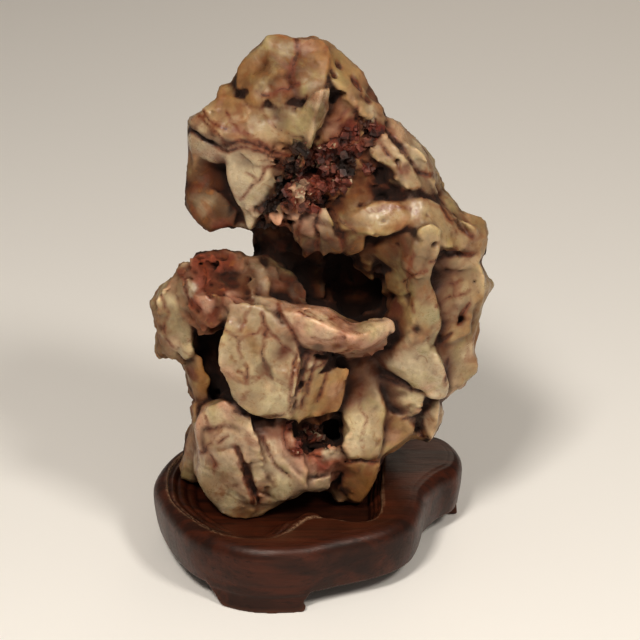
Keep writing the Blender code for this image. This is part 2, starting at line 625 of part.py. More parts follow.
def fill_gaps(part):
    """Grows a part, fuses it and shrinks it again, which fills its narrow gaps."""
    add_modifier(part, "grow", "DISPLACE", strength=GAP_REACH, mid_level=0)
    add_modifier(part, "join", "REMESH", mode="VOXEL", voxel_size=FUSING_GRID)
    apply_modifiers(part)
    keep_largest_body(part)
    add_modifier(part, "even", "SMOOTH", iterations=1, factor=0.5)
    add_modifier(part, "shrink", "DISPLACE", strength=-GAP_REACH, mid_level=0)
    add_modifier(part, "fuse", "REMESH", mode="VOXEL", voxel_size=FUSING_GRID)
    apply_modifiers(part)
    keep_largest_body(part)


def weather(part):
    """Moves the surface a little in and out, except the flat sole that the stone stands on."""
    bm = bmesh.new()
    bm.from_mesh(part.data)
    bm.normal_update()
    for corner in bm.verts:
        if corner.co.z < SEAT_HEIGHT + SOLE_FLATNESS:
            corner.co.z = SEAT_HEIGHT
        else:
            swell = noise.noise(corner.co / WEATHERING_SPREAD)
            corner.co += corner.normal * swell * WEATHERING
    bm.to_mesh(part.data)
    bm.free()


def add_pits(bm, stone):
    """Adds a ball for each pit, centred where its line of sight meets the stone."""
    tree = BVHTree.FromObject(stone, bpy.context.evaluated_depsgraph_get())
    for x, y, radius in PITS:
        start = sight_point(x, y, PIT_START)
        place = tree.ray_cast(start, sight_point(x, y, 0) - start)[0]
        ball = bmesh.ops.create_icosphere(bm, subdivisions=2, radius=radius * MM)["verts"]
        bmesh.ops.translate(bm, vec=place, verts=ball)


def hollow_cutter(stone, collection):
    bm = bmesh.new()
    add_pits(bm, stone)
    for depth, points in HOLLOWS.values():
        add_hull(bm, lobe_points(points, depth, above=-1))
    sole = bmesh.ops.create_cube(bm, size=1)["verts"]
    bmesh.ops.scale(bm, vec=(0.2, 0.2, 0.02), verts=sole)
    bmesh.ops.translate(bm, vec=(0, 0, SEAT_HEIGHT - 0.01), verts=sole)
    return as_cutter(new_object("hollow_cutter", bm, collection))


def make_stone(parts, cutters):
    """The stone: its lobes fused on a fine grid, the hollows cut, then eased and faceted."""
    bm = bmesh.new()
    for depth, points in list(MASSES.values()) + list(FACES.values()):
        add_hull(bm, lobe_points(points, depth))
    for depth, points in BACK_LOBES.values():
        add_hull(bm, lobe_points(points, -depth))
    stone = new_object("scholars_rock", bm, parts)
    add_modifier(stone, "fuse", "REMESH", mode="VOXEL", voxel_size=FUSING_GRID)
    apply_modifiers(stone)
    keep_largest_body(stone)
    fill_gaps(stone)
    cutter = hollow_cutter(stone, cutters)
    add_modifier(stone, "cut", "BOOLEAN", operation="DIFFERENCE", object=cutter, use_self=True)
    add_modifier(stone, "fuse", "REMESH", mode="VOXEL", voxel_size=FUSING_GRID)
    add_modifier(stone, "ease", "SMOOTH", iterations=EASING_ROUNDS, factor=0.5)
    apply_modifiers(stone)
    keep_largest_body(stone)
    weather(stone)
    faces = sum(len(face.vertices) - 2 for face in stone.data.polygons)
    add_modifier(stone, "facet", "DECIMATE", ratio=STONE_TRIANGLES / faces)
    apply_modifiers(stone)
    return stone


def outline_point(points, place):
    """The point at a place along the smooth closed line through some points."""
    count = len(points)
    start = math.floor(place)
    part = place - start
    before, here, after, beyond = (Vector(points[(start + step) % count]) for step in (-1, 0, 1, 2))
    straight = (after - before) * part
    bend = (2 * before - 5 * here + 4 * after - beyond) * part ** 2
    turn = (3 * here - before - 3 * after + beyond) * part ** 3
    return PLAN_MIDDLE + (2 * here + straight + bend + turn) / 2 * MM


def outline_points(points, steps, inset=0.0):
    """A smooth closed line, moved inwards by inset."""
    count = len(points) * steps
    line = [outline_point(points, place / steps) for place in range(count)]
    moved = []
    for number, point in enumerate(line):
        along = (line[(number + 1) % count] - line[number - 1]).normalized()
        inwards = Vector((-along.y, along.x))
        moved.append(point + inwards * inset)
    return moved


def outline_block(name, line, low, high, collection):
    """An upright block with a flat outline, from a low height to a high one."""
    curve = bpy.data.curves.new(name, "CURVE")
    curve.dimensions = "2D"
    curve.fill_mode = "BOTH"
    curve.extrude = (high - low) / 2
    spline = curve.splines.new("POLY")
    spline.points.add(len(line) - 1)
    for corner, point in zip(spline.points, line):
        corner.co = (point.x, point.y, 0, 1)
    spline.use_cyclic_u = True
    drawn = bpy.data.objects.new(name + "_outline", curve)
    drawn.location.z = (low + high) / 2
    collection.objects.link(drawn)
    bpy.context.view_layer.update()
    evaluated = drawn.evaluated_get(bpy.context.evaluated_depsgraph_get())
    mesh = bpy.data.meshes.new_from_object(evaluated)
    mesh.transform(drawn.matrix_world)
    bpy.data.objects.remove(drawn)
    bm = bmesh.new()
    bm.from_mesh(mesh)
    bmesh.ops.remove_doubles(bm, verts=bm.verts, dist=0.01 * MM)
    bmesh.ops.dissolve_limit(bm, angle_limit=math.radians(1), verts=bm.verts, edges=bm.edges)
    return new_object(name, bm, collection)


def round_top(part, radius, segments):
    """Rounds the upper rim of a block."""
    bm = bmesh.new()
    bm.from_mesh(part.data)
    top = max(corner.co.z for corner in bm.verts)
    rim = [edge for edge in bm.edges if all(top - corner.co.z < 0.1 * MM for corner in edge.verts)]
    bmesh.ops.bevel(bm, geom=rim, offset=radius, segments=segments, profile=0.5, affect="EDGES",
                    clamp_overlap=True)
    bm.to_mesh(part.data)
    bm.free()


def as_cutter(part):
    part.hide_render = True
    part.display_type = "WIRE"
    return part


def foot_points(place):
    """The outer and inner points of a foot at a place along the stand's outline."""
    outer = outline_point(STAND_OUTLINE, place)
    ahead = outline_point(STAND_OUTLINE, place + 0.05)
    along = ahead - outline_point(STAND_OUTLINE, place - 0.05)
    inwards = Vector((-along.y, along.x)).normalized()
    return outer + inwards * FOOT_INSET, outer + inwards * (FOOT_INSET + FOOT_DEPTH)


def make_feet(collection):
    """The feet, as one helper mesh that is joined to the stand's body."""
    bm = bmesh.new()
    for start, end, narrow_start, narrow_end in FEET:
        first = start + narrow_start * MM / OUTLINE_SPACING
        last = end - narrow_end * MM / OUTLINE_SPACING
        points = []
        for step in range(FOOT_STEPS + 1):
            share = step / FOOT_STEPS
            for point in foot_points(first + (last - first) * share):
                points.append((point.x, point.y, 0))
            for point in foot_points(start + (end - start) * share):
                points += [(point.x, point.y, APRON_HEIGHT), (point.x, point.y, FOOT_TOP)]
        add_hull(bm, points)
    return as_cutter(new_object("feet", bm, collection))


def make_stand(parts, cutters):
    """The stand: a rounded body with a sunk seat above, a hollow below, and feet."""
    line = outline_points(STAND_OUTLINE, OUTLINE_STEPS)
    stand = outline_block("wooden_stand", line, APRON_HEIGHT, STAND_HEIGHT, parts)
    round_top(stand, SHOULDER_RADIUS, SHOULDER_STEPS)
    seat_line = outline_points(SEAT_OUTLINE, OUTLINE_STEPS)
    seat = as_cutter(outline_block("seat", seat_line, SEAT_HEIGHT - GAP, STAND_HEIGHT + 5 * MM, cutters))
    under_line = outline_points(STAND_OUTLINE, 2, UNDER_RIM)
    under = as_cutter(outline_block("under_hollow", under_line, -5 * MM, UNDER_HEIGHT, cutters))
    feet = make_feet(cutters)
    add_modifier(stand, "feet", "BOOLEAN", operation="UNION", object=feet)
    add_modifier(stand, "under", "BOOLEAN", operation="DIFFERENCE", object=under)
    add_modifier(stand, "seat", "BOOLEAN", operation="DIFFERENCE", object=seat)
    return stand


def finish(part, name, colour, roughness):
    """Gives a part its own material."""
    material = bpy.data.materials.new(name)
    material.use_nodes = True
    shader = material.node_tree.nodes["Principled BSDF"]
    shader.inputs["Base Color"].default_value = (*colour, 1)
    shader.inputs["Roughness"].default_value = roughness
    shader.inputs["Metallic"].default_value = METALLIC
    part.data.materials.clear()
    part.data.materials.append(material)


def main():
    for old in list(bpy.data.objects):
        bpy.data.objects.remove(old)
    parts = bpy.data.collections.new("scholars_rock_on_stand")
    cutters = bpy.data.collections.new("cutters")
    bpy.context.scene.collection.children.link(parts)
    bpy.context.scene.collection.children.link(cutters)
    stand = make_stand(parts, cutters)
    finish(stand, "dark_hardwood", WOOD_COLOUR, WOOD_ROUGHNESS)
    stone = make_stone(parts, cutters)
    finish(stone, "weathered_stone", STONE_COLOUR, STONE_ROUGHNESS)


main()
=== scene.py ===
"""The looks of a scholar's rock on its carved hardwood stand.

The stone is one body: its lobes are fused in a field of distances, its hollows, cracks and pits are
cut from that field, and the surface is drawn from it. Tones, veins and stains are kept with the
surface as named layers, which the stone's finish mixes. The stand is carved in the same way.
"""

import math

import bmesh
import bpy
import numpy as np
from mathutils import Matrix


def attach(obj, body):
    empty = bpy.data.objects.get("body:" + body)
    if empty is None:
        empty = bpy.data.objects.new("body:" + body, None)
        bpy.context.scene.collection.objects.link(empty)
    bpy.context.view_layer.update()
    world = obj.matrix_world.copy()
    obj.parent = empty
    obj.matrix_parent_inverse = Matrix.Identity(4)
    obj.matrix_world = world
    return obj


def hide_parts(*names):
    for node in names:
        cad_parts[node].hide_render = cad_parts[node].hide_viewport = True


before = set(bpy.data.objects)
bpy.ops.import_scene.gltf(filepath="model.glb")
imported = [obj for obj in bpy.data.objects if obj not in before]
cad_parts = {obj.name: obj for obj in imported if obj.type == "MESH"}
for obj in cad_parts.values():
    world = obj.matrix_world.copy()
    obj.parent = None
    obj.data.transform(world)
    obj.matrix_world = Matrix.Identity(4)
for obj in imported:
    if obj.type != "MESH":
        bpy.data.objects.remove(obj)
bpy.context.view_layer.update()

import openvdb
from mathutils import Vector

MM = 0.001

# The drafting sheet: squares across (x to the right, y down), seen by an eye in front and above.
# A third number is how many millimetres a point lies in front of the stone's middle plane.
SQUARE = 0.4
SHEET_MIDDLE = 320
SHEET_CENTRE = np.array([0.3, 4.8, 103.4])
EYE_DISTANCE = 900.0
EYE_RISE = math.radians(25)
SHEET_UP = np.array([0, math.sin(EYE_RISE), math.cos(EYE_RISE)])
TO_EYE = np.array([0, -math.cos(EYE_RISE), math.sin(EYE_RISE)])
EYE = SHEET_CENTRE + TO_EYE * EYE_DISTANCE

# Heights of the stand, in millimetres.
SEAT_HEIGHT = 23.0
STAND_HEIGHT = 30.0
APRON_HEIGHT = 8.0

# The fields: their boxes and the steps of their grids in millimetres, and the triangles drawn.
STONE_BOX = ((-74, -50, 20), (74, 54, 227))
STONE_STEP = 0.9
STONE_TRIANGLES = 196000
STAND_BOX = ((-71, -54, -1.2), (72, 54, 32))
STAND_STEP = 0.6
STAND_TRIANGLES = 120000
FAR = 9.0

# How the stone's lobes narrow backwards, swell and fuse, in millimetres.
LOBE_TAPER = 0.92
LOBE_SINK = 4.0
LOBE_MARGIN = 7.0
LOBE_SWELL = 1.1
EDGE_SHARE = 0.22
FUSE = 0.55
DEEPEST = 8.0
WARP = 1.4
TONE_BLEND = 2.0
# The creases where lobes meet: the ball that can't enter them, their depth and how soon it is full.
GAP_REACH = 1.7
CREASE_DEPTH = 2.6
CREASE_SPAN = 2.0
# The same for the back of the stone, which starts this far before its middle plane.
BACK_START = 6.0
BACK_RANGE = 18.0
BACK_WARP = 2.4
BACK_REACH = 3.4
BACK_SWELL = 1.3
# How its hollows are cut and its outline is trimmed.
HOLLOW_EDGE = 0.8
HOLLOW_BLEND = 1.2
HOLLOW_WARP = 2.2
TRIM_BLEND = 1.2
# How its surface is worn: the reach of the wear, then the depths of its kinds.
WEAR_BAND = 4.5
SWELLS = ((0.34, 8.5, 5), (0.09, 3.9, 6))
RIPPLE = 0.06
FISSURE_DEPTH = 0.45
FACET_DEPTH = 0.6
CHIP_DEPTH = 2.6
SPLINTER_DEPTH = 1.1
CHIPPED = 0.15
POCK_LEVEL = 0.45
# How ragged its cracks and pits are, how softly they are cut, and how far a drawn line is felt.
RAGGED = 0.65
RAGGED_SPREAD = 2.6
CRACK_BLEND = 0.25
PIT_BLEND = 0.4
LINE_REACH = 3.0
# How far the sight lines are followed into the stone: from this far in front of its middle plane.
SIGHT_START = 45.0
SIGHT_REACH = 110

# How full the space round a place is where a crease or shade starts or a crest ends, how steeply
# it then grows, and the reach of that space in steps of the grid.
CLOSE_BY = 2
STONE_ROUND = 8
STONE_CREASE = (0.5, 4.2)
STONE_CREST = (0.5, 3.2)
STONE_SHADE = (0.465, 4.2)
STAND_ROUND = 5
STAND_CREASE = (0.53, 4)
STAND_CREST = (0.45, 4)
STAND_SHADE = (0.55, 3)
CRUSTY = (0.82, 10)

# Crumbs on the crusty stone: how many a square metre, their radii and how far they are bent out of
# shape in millimetres, and their seed.
CRUMB_DENSITY = 620000
CRUMB_SMALLEST = 0.3
CRUMB_LARGEST = 2.2
CRUMB_BEND = 1.6
CRUMB_SEED = 7


def linear(code):
    """A colour written as six hexadecimal digits, as linear light."""
    shares = [int(code[place:place + 2], 16) / 255 for place in (0, 2, 4)]
    return tuple(((share + 0.055) / 1.055) ** 2.4 if share > 0.04 else share / 12.92
                 for share in shares)


# The stone's tones, each with how rough that stone is, from 0, worn smooth, to 1, crusty.
# The black tone is painted shade, and the dark tone and the near-black crust tone are partly painted
# shade.
TONES = {name: (*linear(code), rough) for name, code, rough in (
    ("milk", "C6B592", 0.05), ("pale", "B2A287", 0.05), ("cream", "A28E6F", 0.07),
    ("green", "968A68", 0.05), ("tan", "927045", 0.1), ("ochre", "845C2F", 0.12),
    ("umber", "7E5B36", 0.08), ("pink", "B48C74", 0.05), ("rose", "844A38", 0.6),
    ("rust", "5A2418", 0.95), ("brown", "4E301B", 0.5), ("grey", "654D38", 0.5),
    ("dark", "25130A", 0.6), ("amber", "523214", 0.08), ("soot", "2C1810", 0.95),
    ("red", "693524", 0.81), ("black", "0E0805", 0.2))}
CLOUD_PINK = linear("9A6448")
CLOUD_GREEN = linear("978A5D")
CLOUD_OCHRE = linear("845427")
VEIN_BROWN = linear("34180B")
STAIN_RUST = linear("6A2F14")
CREASE_BROWN = linear("371D10")
# Warm ochre painted as the half-shade round the stone's hollows.
EDGE_OCHRE = linear("743C1A")
# The near-black brown painted as shade in the hollows, and as stain and shade in the creases.
DEEP_BROWN = linear("1C0B04")

# The stand's outline seen from above, in millimetres, clockwise from the left end.
STAND_OUTLINE = [
    (-69, 6), (-66, -12), (-57, -33), (-46, -46), (-28, -55), (-8, -55), (8, -49), (26, -41),
    (37, -31), (42, -18), (44, -7), (50, 4), (58, 13), (60, 26), (54, 40), (40, 46), (18, 45),
    (-4, 42), (-26, 44), (-46, 41), (-61, 29),
]
# The rim of the sunk seat, in the same way.
SEAT_OUTLINE = [
    (-63, 0), (-60, -16), (-50, -32), (-38, -43), (-22, -46), (-12, -40), (-5, -31), (4, -30),
    (14, -33), (22, -30), (25, -20), (25, -6), (26, 10), (26, 26), (18, 34), (0, 35), (-20, 35),
    (-40, 34), (-55, 28), (-62, 14),
]
LOOP_STEPS = 6
# Each foot: its start and end, counted in points of the outline, and how much it narrows at each.
FEET = [(3.0, 5.25, 8.0, 2.0), (12.6, 14.5, 4.0, 4.0), (16.3, 17.7, 4.0, 4.0), (19.1, 20.6, 4.0, 4.0)]

# The stand's carving, in millimetres.
SHOULDER_RADIUS = 6.0
APRON_INSET = 2.0
UNDER_RIM = 11.0
UNDER_HEIGHT = 14.0
UNDER_BLEND = 0.8
FOOT_DEPTH = 7.0
FOOT_KICK = 0.8
FOOT_BLEND = 1.6
NICK_DEPTH = 1.6
NICK_HEIGHT = 4.2
NICK_REACH = 1.5
SEAT_GAP = 0.3
RIM_EASE = 1.2
STEPS_WIDE = 12.0
STEPS_NARROW = 5.0
STEPS_RISE = 5.5
STEP_COUNT = 3
BEAD_HEIGHT = 1.2
BEAD_START = 1.5
SCUFF_WIDTH = 1.4
SCUFF_DEPTH = 1.5
# Carved swells in the seat: where they are on plan, their reach and their height.
SEAT_SWELLS = [(-4, -26, 5.0, 4.0), (-13, -33, 5.0, 2.4), (12, -26, 5.0, -1.0)]

WOOD_DARK = linear("2C160E")
WOOD_RED = linear("472214")
WOOD_BLACK = linear("100806")
WOOD_WORN = linear("6A4029")
SCUFF_PALE = linear("9C8067")

# Each light: the way to it, its width in metres, its power in watts and its colour.
LIGHTS = {
    "key": ((-0.3, -0.88, 1.1), 0.24, 10.6, (1.0, 0.93, 0.84)),
    "side": ((0.7, -0.78, 1.1), 0.24, 6.3, (1.0, 0.94, 0.85)),
    "low": ((0.3, -0.95, 0.18), 0.7, 1.5, (1.0, 0.93, 0.84)),
    "back": ((0.25, 0.95, 0.5), 0.5, 0.9, (1.0, 0.84, 0.68)),
}
LIGHT_DISTANCE = 1.3
LIGHT_AIM = (0, 0, 0.11)
ROOM_COLOUR = (1.0, 0.92, 0.83, 1)
ROOM_STRENGTH = 0.17
FLOOR_COLOUR = (0.86, 0.85, 0.83)
FILM_WIDTH = 36

# The stone's lobes: tone, how rounded its edges are and how deep it is (in millimetres; a
# negative depth runs towards the front), then the points of its face.
# The black lobes (the neck, the cave wall, the far edge and the wedge tip) are painted shade.
LOBES = {
    "crown_core": ("tan", 1.5, 34, [(222, 92, 2), (238, 72, 2), (262, 46, -4), (300, 42, -5),
        (326, 46, -5), (346, 64, -3), (372, 98, 0), (376, 112, 2), (330, 112, 10), (250, 108, 8)]),
    "head_core": ("tan", 1.5, 40, [(206, 112, 2), (250, 98, 8), (350, 98, 10), (380, 116, 4),
        (374, 150, 8), (330, 165, 12), (245, 160, 12), (206, 130, 4)]),
    "jaw_core": ("amber", 1.5, 34, [(194, 150, -2), (215, 125, 2), (262, 130, 10), (296, 160, 12),
        (290, 212, 10), (262, 222, 6), (248, 224, 4), (206, 229, 0), (190, 205, -2)]),
    "matrix_core": ("rust", 1.5, 40, [(262, 125, 14), (330, 120, 14), (372, 142, 10), (380, 188, 10),
        (352, 214, 12), (322, 216, 11), (296, 224, 7), (264, 215, 8), (256, 165, 12)]),
    # Painted shade behind the head's overhang.
    "neck_core": ("black", 1.5, 26, [(254, 206, -1), (330, 206, 1), (338, 240, -6), (330, 300, -10),
        (290, 302, -8), (262, 285, -9), (256, 250, -10)]),
    "shoulder_core": ("grey", 1.5, 34, [(352, 112, 6), (386, 120, 0), (410, 138, -2), (434, 170, -2),
        (440, 192, 0), (428, 212, 8), (352, 212, 10), (345, 160, 8)]),
    "ridge_core": ("brown", 1.5, 36, [(345, 205, 10), (400, 200, 10), (445, 202, 2), (478, 234, 0),
        (478, 256, 2), (440, 262, 8), (400, 242, 12), (352, 226, 12)]),
    "flank_core": ("tan", 1.5, 36, [(398, 250, 10), (440, 250, 10), (480, 260, 0), (484, 290, -2),
        (474, 345, 0), (476, 366, 0), (456, 386, 4), (430, 392, 10), (404, 380, 12), (398, 300, 8)]),
    "hock_core": ("tan", 1.5, 24, [(396, 384, 6), (442, 388, 4), (440, 410, 4), (430, 426, 4),
        (404, 424, 4), (392, 404, 6)]),
    # Painted shade at the back of the cave.
    "cave_wall": ("black", 1.5, 20, [(300, 212, -16), (395, 212, -14), (412, 262, -14), (404, 330, -14),
        (300, 335, -16), (280, 290, -16)]),
    "middle_core": ("tan", 1.5, 40, [(236, 306, 12), (300, 312, 14), (384, 330, 12), (420, 352, 12),
        (424, 400, 8), (384, 420, 8), (300, 424, 12), (244, 404, 14), (230, 350, 12)]),
    "left_core": ("tan", 1.5, 34, [(156, 296, -2), (182, 268, -2), (236, 257, -6), (252, 272, -2),
        (256, 312, 8), (200, 334, 4), (160, 345, -2)]),
    "left_low_core": ("brown", 1.5, 24, [(184, 352, -4), (236, 330, -2), (240, 404, -2), (206, 416, -2),
        (190, 400, -6)]),
    "base_core": ("tan", 1.5, 34, [(198, 418, 8), (240, 402, 14), (300, 412, 14), (345, 412, 12),
        (380, 412, 8), (404, 424, 4), (384, 446, 2), (368, 462, 6), (362, 488, 2), (340, 484, 4),
        (300, 484, 10), (250, 505, 14), (214, 500, 12), (199, 470, 6)]),
    "crown_left": ("ochre", 2.2, 26, [(263, 34, 3), (296, 38, 4), (295, 62, 11), (284, 76, 12),
        (268, 76, 14), (252, 84, 13), (236, 88, 11), (233, 76, 8), (239, 62, 5), (252, 48, 3)]),
    "crown_right": ("umber", 2.2, 28, [(294, 39, 4), (312, 35, 3), (325, 39, 3), (331, 52, 8),
        (328, 75, 14), (322, 92, 18), (312, 99, 20), (300, 103, 17), (288, 97, 14), (284, 80, 11),
        (293, 62, 10)]),
    "crown_shoulder": ("tan", 2.0, 24, [(325, 40, 3), (336, 51, 1), (352, 60, 1), (368, 82, 2),
        (384, 108, 4), (385, 115, 6), (372, 117, 11), (359, 112, 14), (350, 102, 14), (346, 88, 13),
        (332, 84, 14), (326, 62, 9)]),
    "blade": ("pale", 0.8, 9, [(318, 92, 22), (326, 94, 19), (325, 109, 17), (313, 113, 20),
        (308, 128, 23), (306, 138, 23), (300, 122, 20), (304, 105, 20)]),
    "brow": ("tan", 1.8, 25, [(252, 102, 14), (265, 101, 15), (276, 107, 17), (292, 110, 18),
        (303, 112, 20), (308, 130, 23), (307, 146, 23), (296, 149, 19), (276, 151, 18), (260, 145, 18),
        (254, 122, 17)]),
    "brow_left": ("tan", 1.8, 24, [(218, 103, 8), (238, 100, 11), (252, 103, 14), (257, 125, 18),
        (262, 146, 19), (250, 144, 20), (240, 141, 20), (230, 143, 19), (221, 138, 18), (211, 128, 15),
        (207, 112, 8)]),
    "nose": ("pale", 2.4, 22, [(189, 117, 7), (200, 111, 5), (212, 108, 8), (214, 120, 13),
        (223, 138, 18), (230, 149, 17), (221, 146, 17), (205, 137, 15), (191, 129, 11), (187, 123, 8)]),
    "lip": ("pale", 2.0, 20, [(188, 131, 8), (204, 140, 13), (218, 148, 16), (229, 155, 16),
        (230, 161, 15), (222, 163, 13), (208, 159, 11), (198, 152, 9), (190, 142, 7)]),
    "knob": ("tan", 2.0, 12, [(217, 92, 4), (221, 86, 3), (230, 84, 4), (238, 90, 8), (236, 98, 10),
        (224, 100, 9)]),
    "saddle": ("umber", 1.5, 20, [(246, 94, 10), (262, 81, 11), (278, 78, 12), (282, 90, 13),
        (278, 106, 16), (262, 102, 14), (248, 102, 12)]),
    "jaw_upper": ("amber", 2.0, 20, [(188, 148, 2), (228, 158, 4), (233, 196, 8), (222, 197, 9),
        (200, 192, 8), (185, 195, 4), (186, 170, 1)]),
    "jaw_lower": ("amber", 1.8, 22, [(185, 193, 4), (200, 190, 8), (222, 195, 11), (233, 208, 10),
        (231, 224, 8), (218, 229, 9), (209, 232, 9), (198, 222, 7), (184, 206, 3)]),
    "tooth": ("pale", 1.4, 24, [(228, 163, 15), (231, 150, 18), (246, 146, 20), (262, 152, 21),
        (273, 160, 20), (265, 170, 20), (260, 182, 19), (262, 200, 16), (255, 218, 13), (250, 227, 12),
        (240, 208, 14), (231, 185, 14)]),
    "tooth_right": ("cream", 1.2, 18, [(266, 168, 19), (284, 168, 17), (285, 184, 15), (278, 192, 14),
        (264, 192, 15), (261, 182, 18)]),
    "cheek_crust": ("rose", 0.8, 18, [(266, 152, 20), (290, 152, 19), (301, 165, 17), (299, 176, 15),
        (285, 169, 17), (272, 161, 20)]),
    "panel": ("umber", 1.0, 18, [(326, 101, 10), (352, 104, 12), (350, 120, 12), (341, 123, 13),
        (337, 140, 15), (318, 142, 16), (309, 133, 15), (309, 121, 13), (315, 111, 11)]),
    "panel_side": ("rose", 1.0, 16, [(342, 122, 12), (352, 106, 11), (357, 113, 12), (357, 130, 11),
        (351, 140, 12), (339, 142, 13)]),
    "shoulder_lip": ("cream", 1.4, 14, [(357, 104, 13), (372, 103, 9), (384, 107, 5), (386, 116, 6),
        (380, 121, 8), (366, 118, 13), (358, 115, 14)]),
    "gravel_a": ("grey", 0.8, 16, [(358, 118, 10), (372, 118, 11), (384, 120, 8), (380, 130, 9),
        (366, 136, 10), (358, 130, 10)]),
    "gravel_b": ("rust", 0.8, 16, [(340, 142, 11), (356, 138, 12), (370, 140, 10), (368, 152, 10),
        (352, 154, 11), (342, 150, 11)]),
    "upper_cap": ("pink", 1.6, 18, [(384, 118, 4), (395, 117, 2), (403, 123, 2), (402, 138, 7),
        (391, 142, 9), (379, 134, 8)]),
    "upper_ridge": ("cream", 1.8, 22, [(401, 124, 1), (420, 140, 0), (433, 156, 0), (440, 172, 1),
        (441, 188, 3), (434, 180, 7), (424, 162, 7), (412, 152, 8), (402, 154, 9), (400, 138, 7)]),
    "bar": ("cream", 1.8, 14, [(370, 141, 11), (380, 134, 10), (392, 142, 11), (402, 155, 12),
        (412, 172, 12), (420, 188, 11), (414, 191, 13), (402, 187, 15), (390, 177, 15), (378, 163, 14),
        (369, 151, 13)]),
    "knuckle_a": ("pale", 1.4, 16, [(403, 152, 9), (413, 153, 8), (416, 168, 9), (410, 176, 10),
        (402, 165, 11)]),
    "knuckle_b": ("cream", 1.4, 16, [(412, 160, 7), (424, 164, 7), (436, 180, 5), (443, 191, 4),
        (430, 194, 8), (418, 190, 10), (408, 178, 10)]),
    "strap_a": ("brown", 1.8, 14, [(350, 173, 8), (360, 167, 10), (372, 171, 10), (383, 182, 10),
        (376, 191, 9), (362, 189, 9), (352, 183, 8)]),
    "strap_b": ("grey", 1.6, 12, [(374, 191, 11), (384, 183, 13), (400, 186, 13), (405, 193, 11),
        (399, 198, 9), (380, 197, 9)]),
    "pink_ledge": ("umber", 1.6, 20, [(322, 199, 13), (345, 194, 13), (365, 188, 12), (373, 193, 13),
        (373, 203, 15), (362, 212, 18), (350, 223, 19), (335, 225, 18), (325, 215, 16)]),
    "ridge_left": ("tan", 2.2, 20, [(345, 222, 18), (360, 211, 19), (372, 203, 17), (392, 201, 16),
        (404, 215, 18), (400, 228, 21), (386, 234, 22), (370, 231, 22), (353, 228, 20)]),
    "ridge_right": ("tan", 2.4, 22, [(388, 202, 15), (430, 200, 12), (441, 208, 11), (455, 215, 9),
        (470, 232, 7), (480, 246, 5), (477, 251, 8), (462, 251, 13), (447, 249, 17), (436, 239, 19),
        (422, 226, 19), (404, 224, 19)]),
    "post_right": ("cream", 1.6, 12, [(419, 230, 23), (428, 226, 22), (436, 232, 21), (435, 243, 20),
        (429, 258, 21), (426, 274, 21), (416, 277, 22), (411, 268, 21), (419, 250, 23)]),
    "post_left": ("amber", 1.5, 12, [(400, 237, 18), (407, 235, 20), (421, 255, 22), (417, 269, 22),
        (408, 266, 19), (402, 250, 18)]),
    "brown_lobe": ("amber", 1.8, 16, [(377, 246, 14), (388, 238, 17), (402, 238, 18), (408, 256, 18),
        (414, 269, 19), (400, 271, 16), (385, 263, 14), (378, 256, 12)]),
    "lump_a": ("tan", 1.8, 15, [(357, 247, 9), (367, 241, 12), (379, 247, 13), (381, 256, 12),
        (373, 263, 10), (360, 263, 8)]),
    "lump_b": ("amber", 1.4, 12, [(356, 268, 6), (366, 264, 9), (372, 268, 9), (373, 274, 8),
        (363, 277, 6)]),
    "neck_block": ("amber", 1.6, 18, [(388, 273, 13), (405, 270, 17), (415, 276, 20), (426, 274, 20),
        (425, 283, 20), (410, 289, 18), (398, 292, 15), (388, 286, 12)]),
    "rim_cap_a": ("cream", 1.6, 16, [(435, 192, 3), (445, 193, 1), (460, 200, 0), (463, 208, 1),
        (457, 213, 4), (445, 209, 7), (437, 203, 7)]),
    "rim_cap_b": ("tan", 1.6, 16, [(458, 212, 3), (470, 213, 1), (482, 222, 0), (486, 232, 0),
        (485, 246, 1), (476, 243, 4), (469, 236, 6), (461, 225, 6)]),
    "rim_cap_c": ("pink", 1.2, 12, [(476, 244, 4), (485, 245, 1), (485, 252, 1), (478, 259, 3),
        (473, 255, 5)]),
    "right_face": ("cream", 2.0, 26, [(428, 262, 10), (450, 258, 8), (475, 256, 5), (482, 268, 4),
        (480, 290, 6), (471, 305, 9), (458, 315, 11), (445, 319, 13), (436, 313, 14), (428, 300, 14),
        (426, 280, 12)]),
    "right_band": ("tan", 1.6, 20, [(478, 258, 3), (486, 275, 0), (492, 286, -1), (490, 295, 0),
        (483, 307, 2), (480, 322, 3), (475, 334, 4), (470, 336, 6), (466, 322, 8), (472, 300, 7),
        (474, 280, 5)]),
    "right_low": ("cream", 2.0, 26, [(437, 343, 14), (452, 334, 12), (468, 331, 8), (474, 340, 5),
        (472, 350, 5), (478, 362, 4), (478, 370, 4), (470, 380, 5), (460, 388, 7), (450, 387, 9),
        (445, 373, 12), (437, 360, 14)]),
    "right_pebble": ("pink", 1.2, 12, [(438, 390, 10), (450, 386, 8), (456, 391, 8), (449, 399, 9),
        (438, 401, 10)]),
    "column": ("green", 1.8, 14, [(412, 288, 18), (425, 280, 20), (428, 292, 20), (430, 308, 20),
        (440, 318, 19), (441, 330, 18), (436, 345, 18), (430, 350, 19), (421, 336, 21), (411, 318, 20),
        (408, 303, 18)]),
    "shelf_wall": ("tan", 2.2, 24, [(393, 298, 8), (400, 293, 13), (410, 298, 17), (414, 320, 20),
        (410, 346, 21), (392, 348, 17), (384, 334, 11), (389, 314, 8)]),
    "paddle": ("pale", 3.0, 24, [(379, 354, 14), (392, 344, 18), (410, 334, 22), (424, 338, 22),
        (434, 350, 20), (440, 362, 20), (446, 376, 19), (449, 390, 17), (443, 399, 17), (432, 398, 18),
        (420, 391, 19), (405, 381, 18), (388, 371, 16), (378, 363, 13)]),
    "low_paddle": ("pale", 2.4, 22, [(376, 381, 11), (386, 375, 13), (405, 384, 16), (419, 393, 17),
        (421, 402, 16), (418, 413, 15), (405, 418, 13), (392, 412, 12), (380, 399, 11)]),
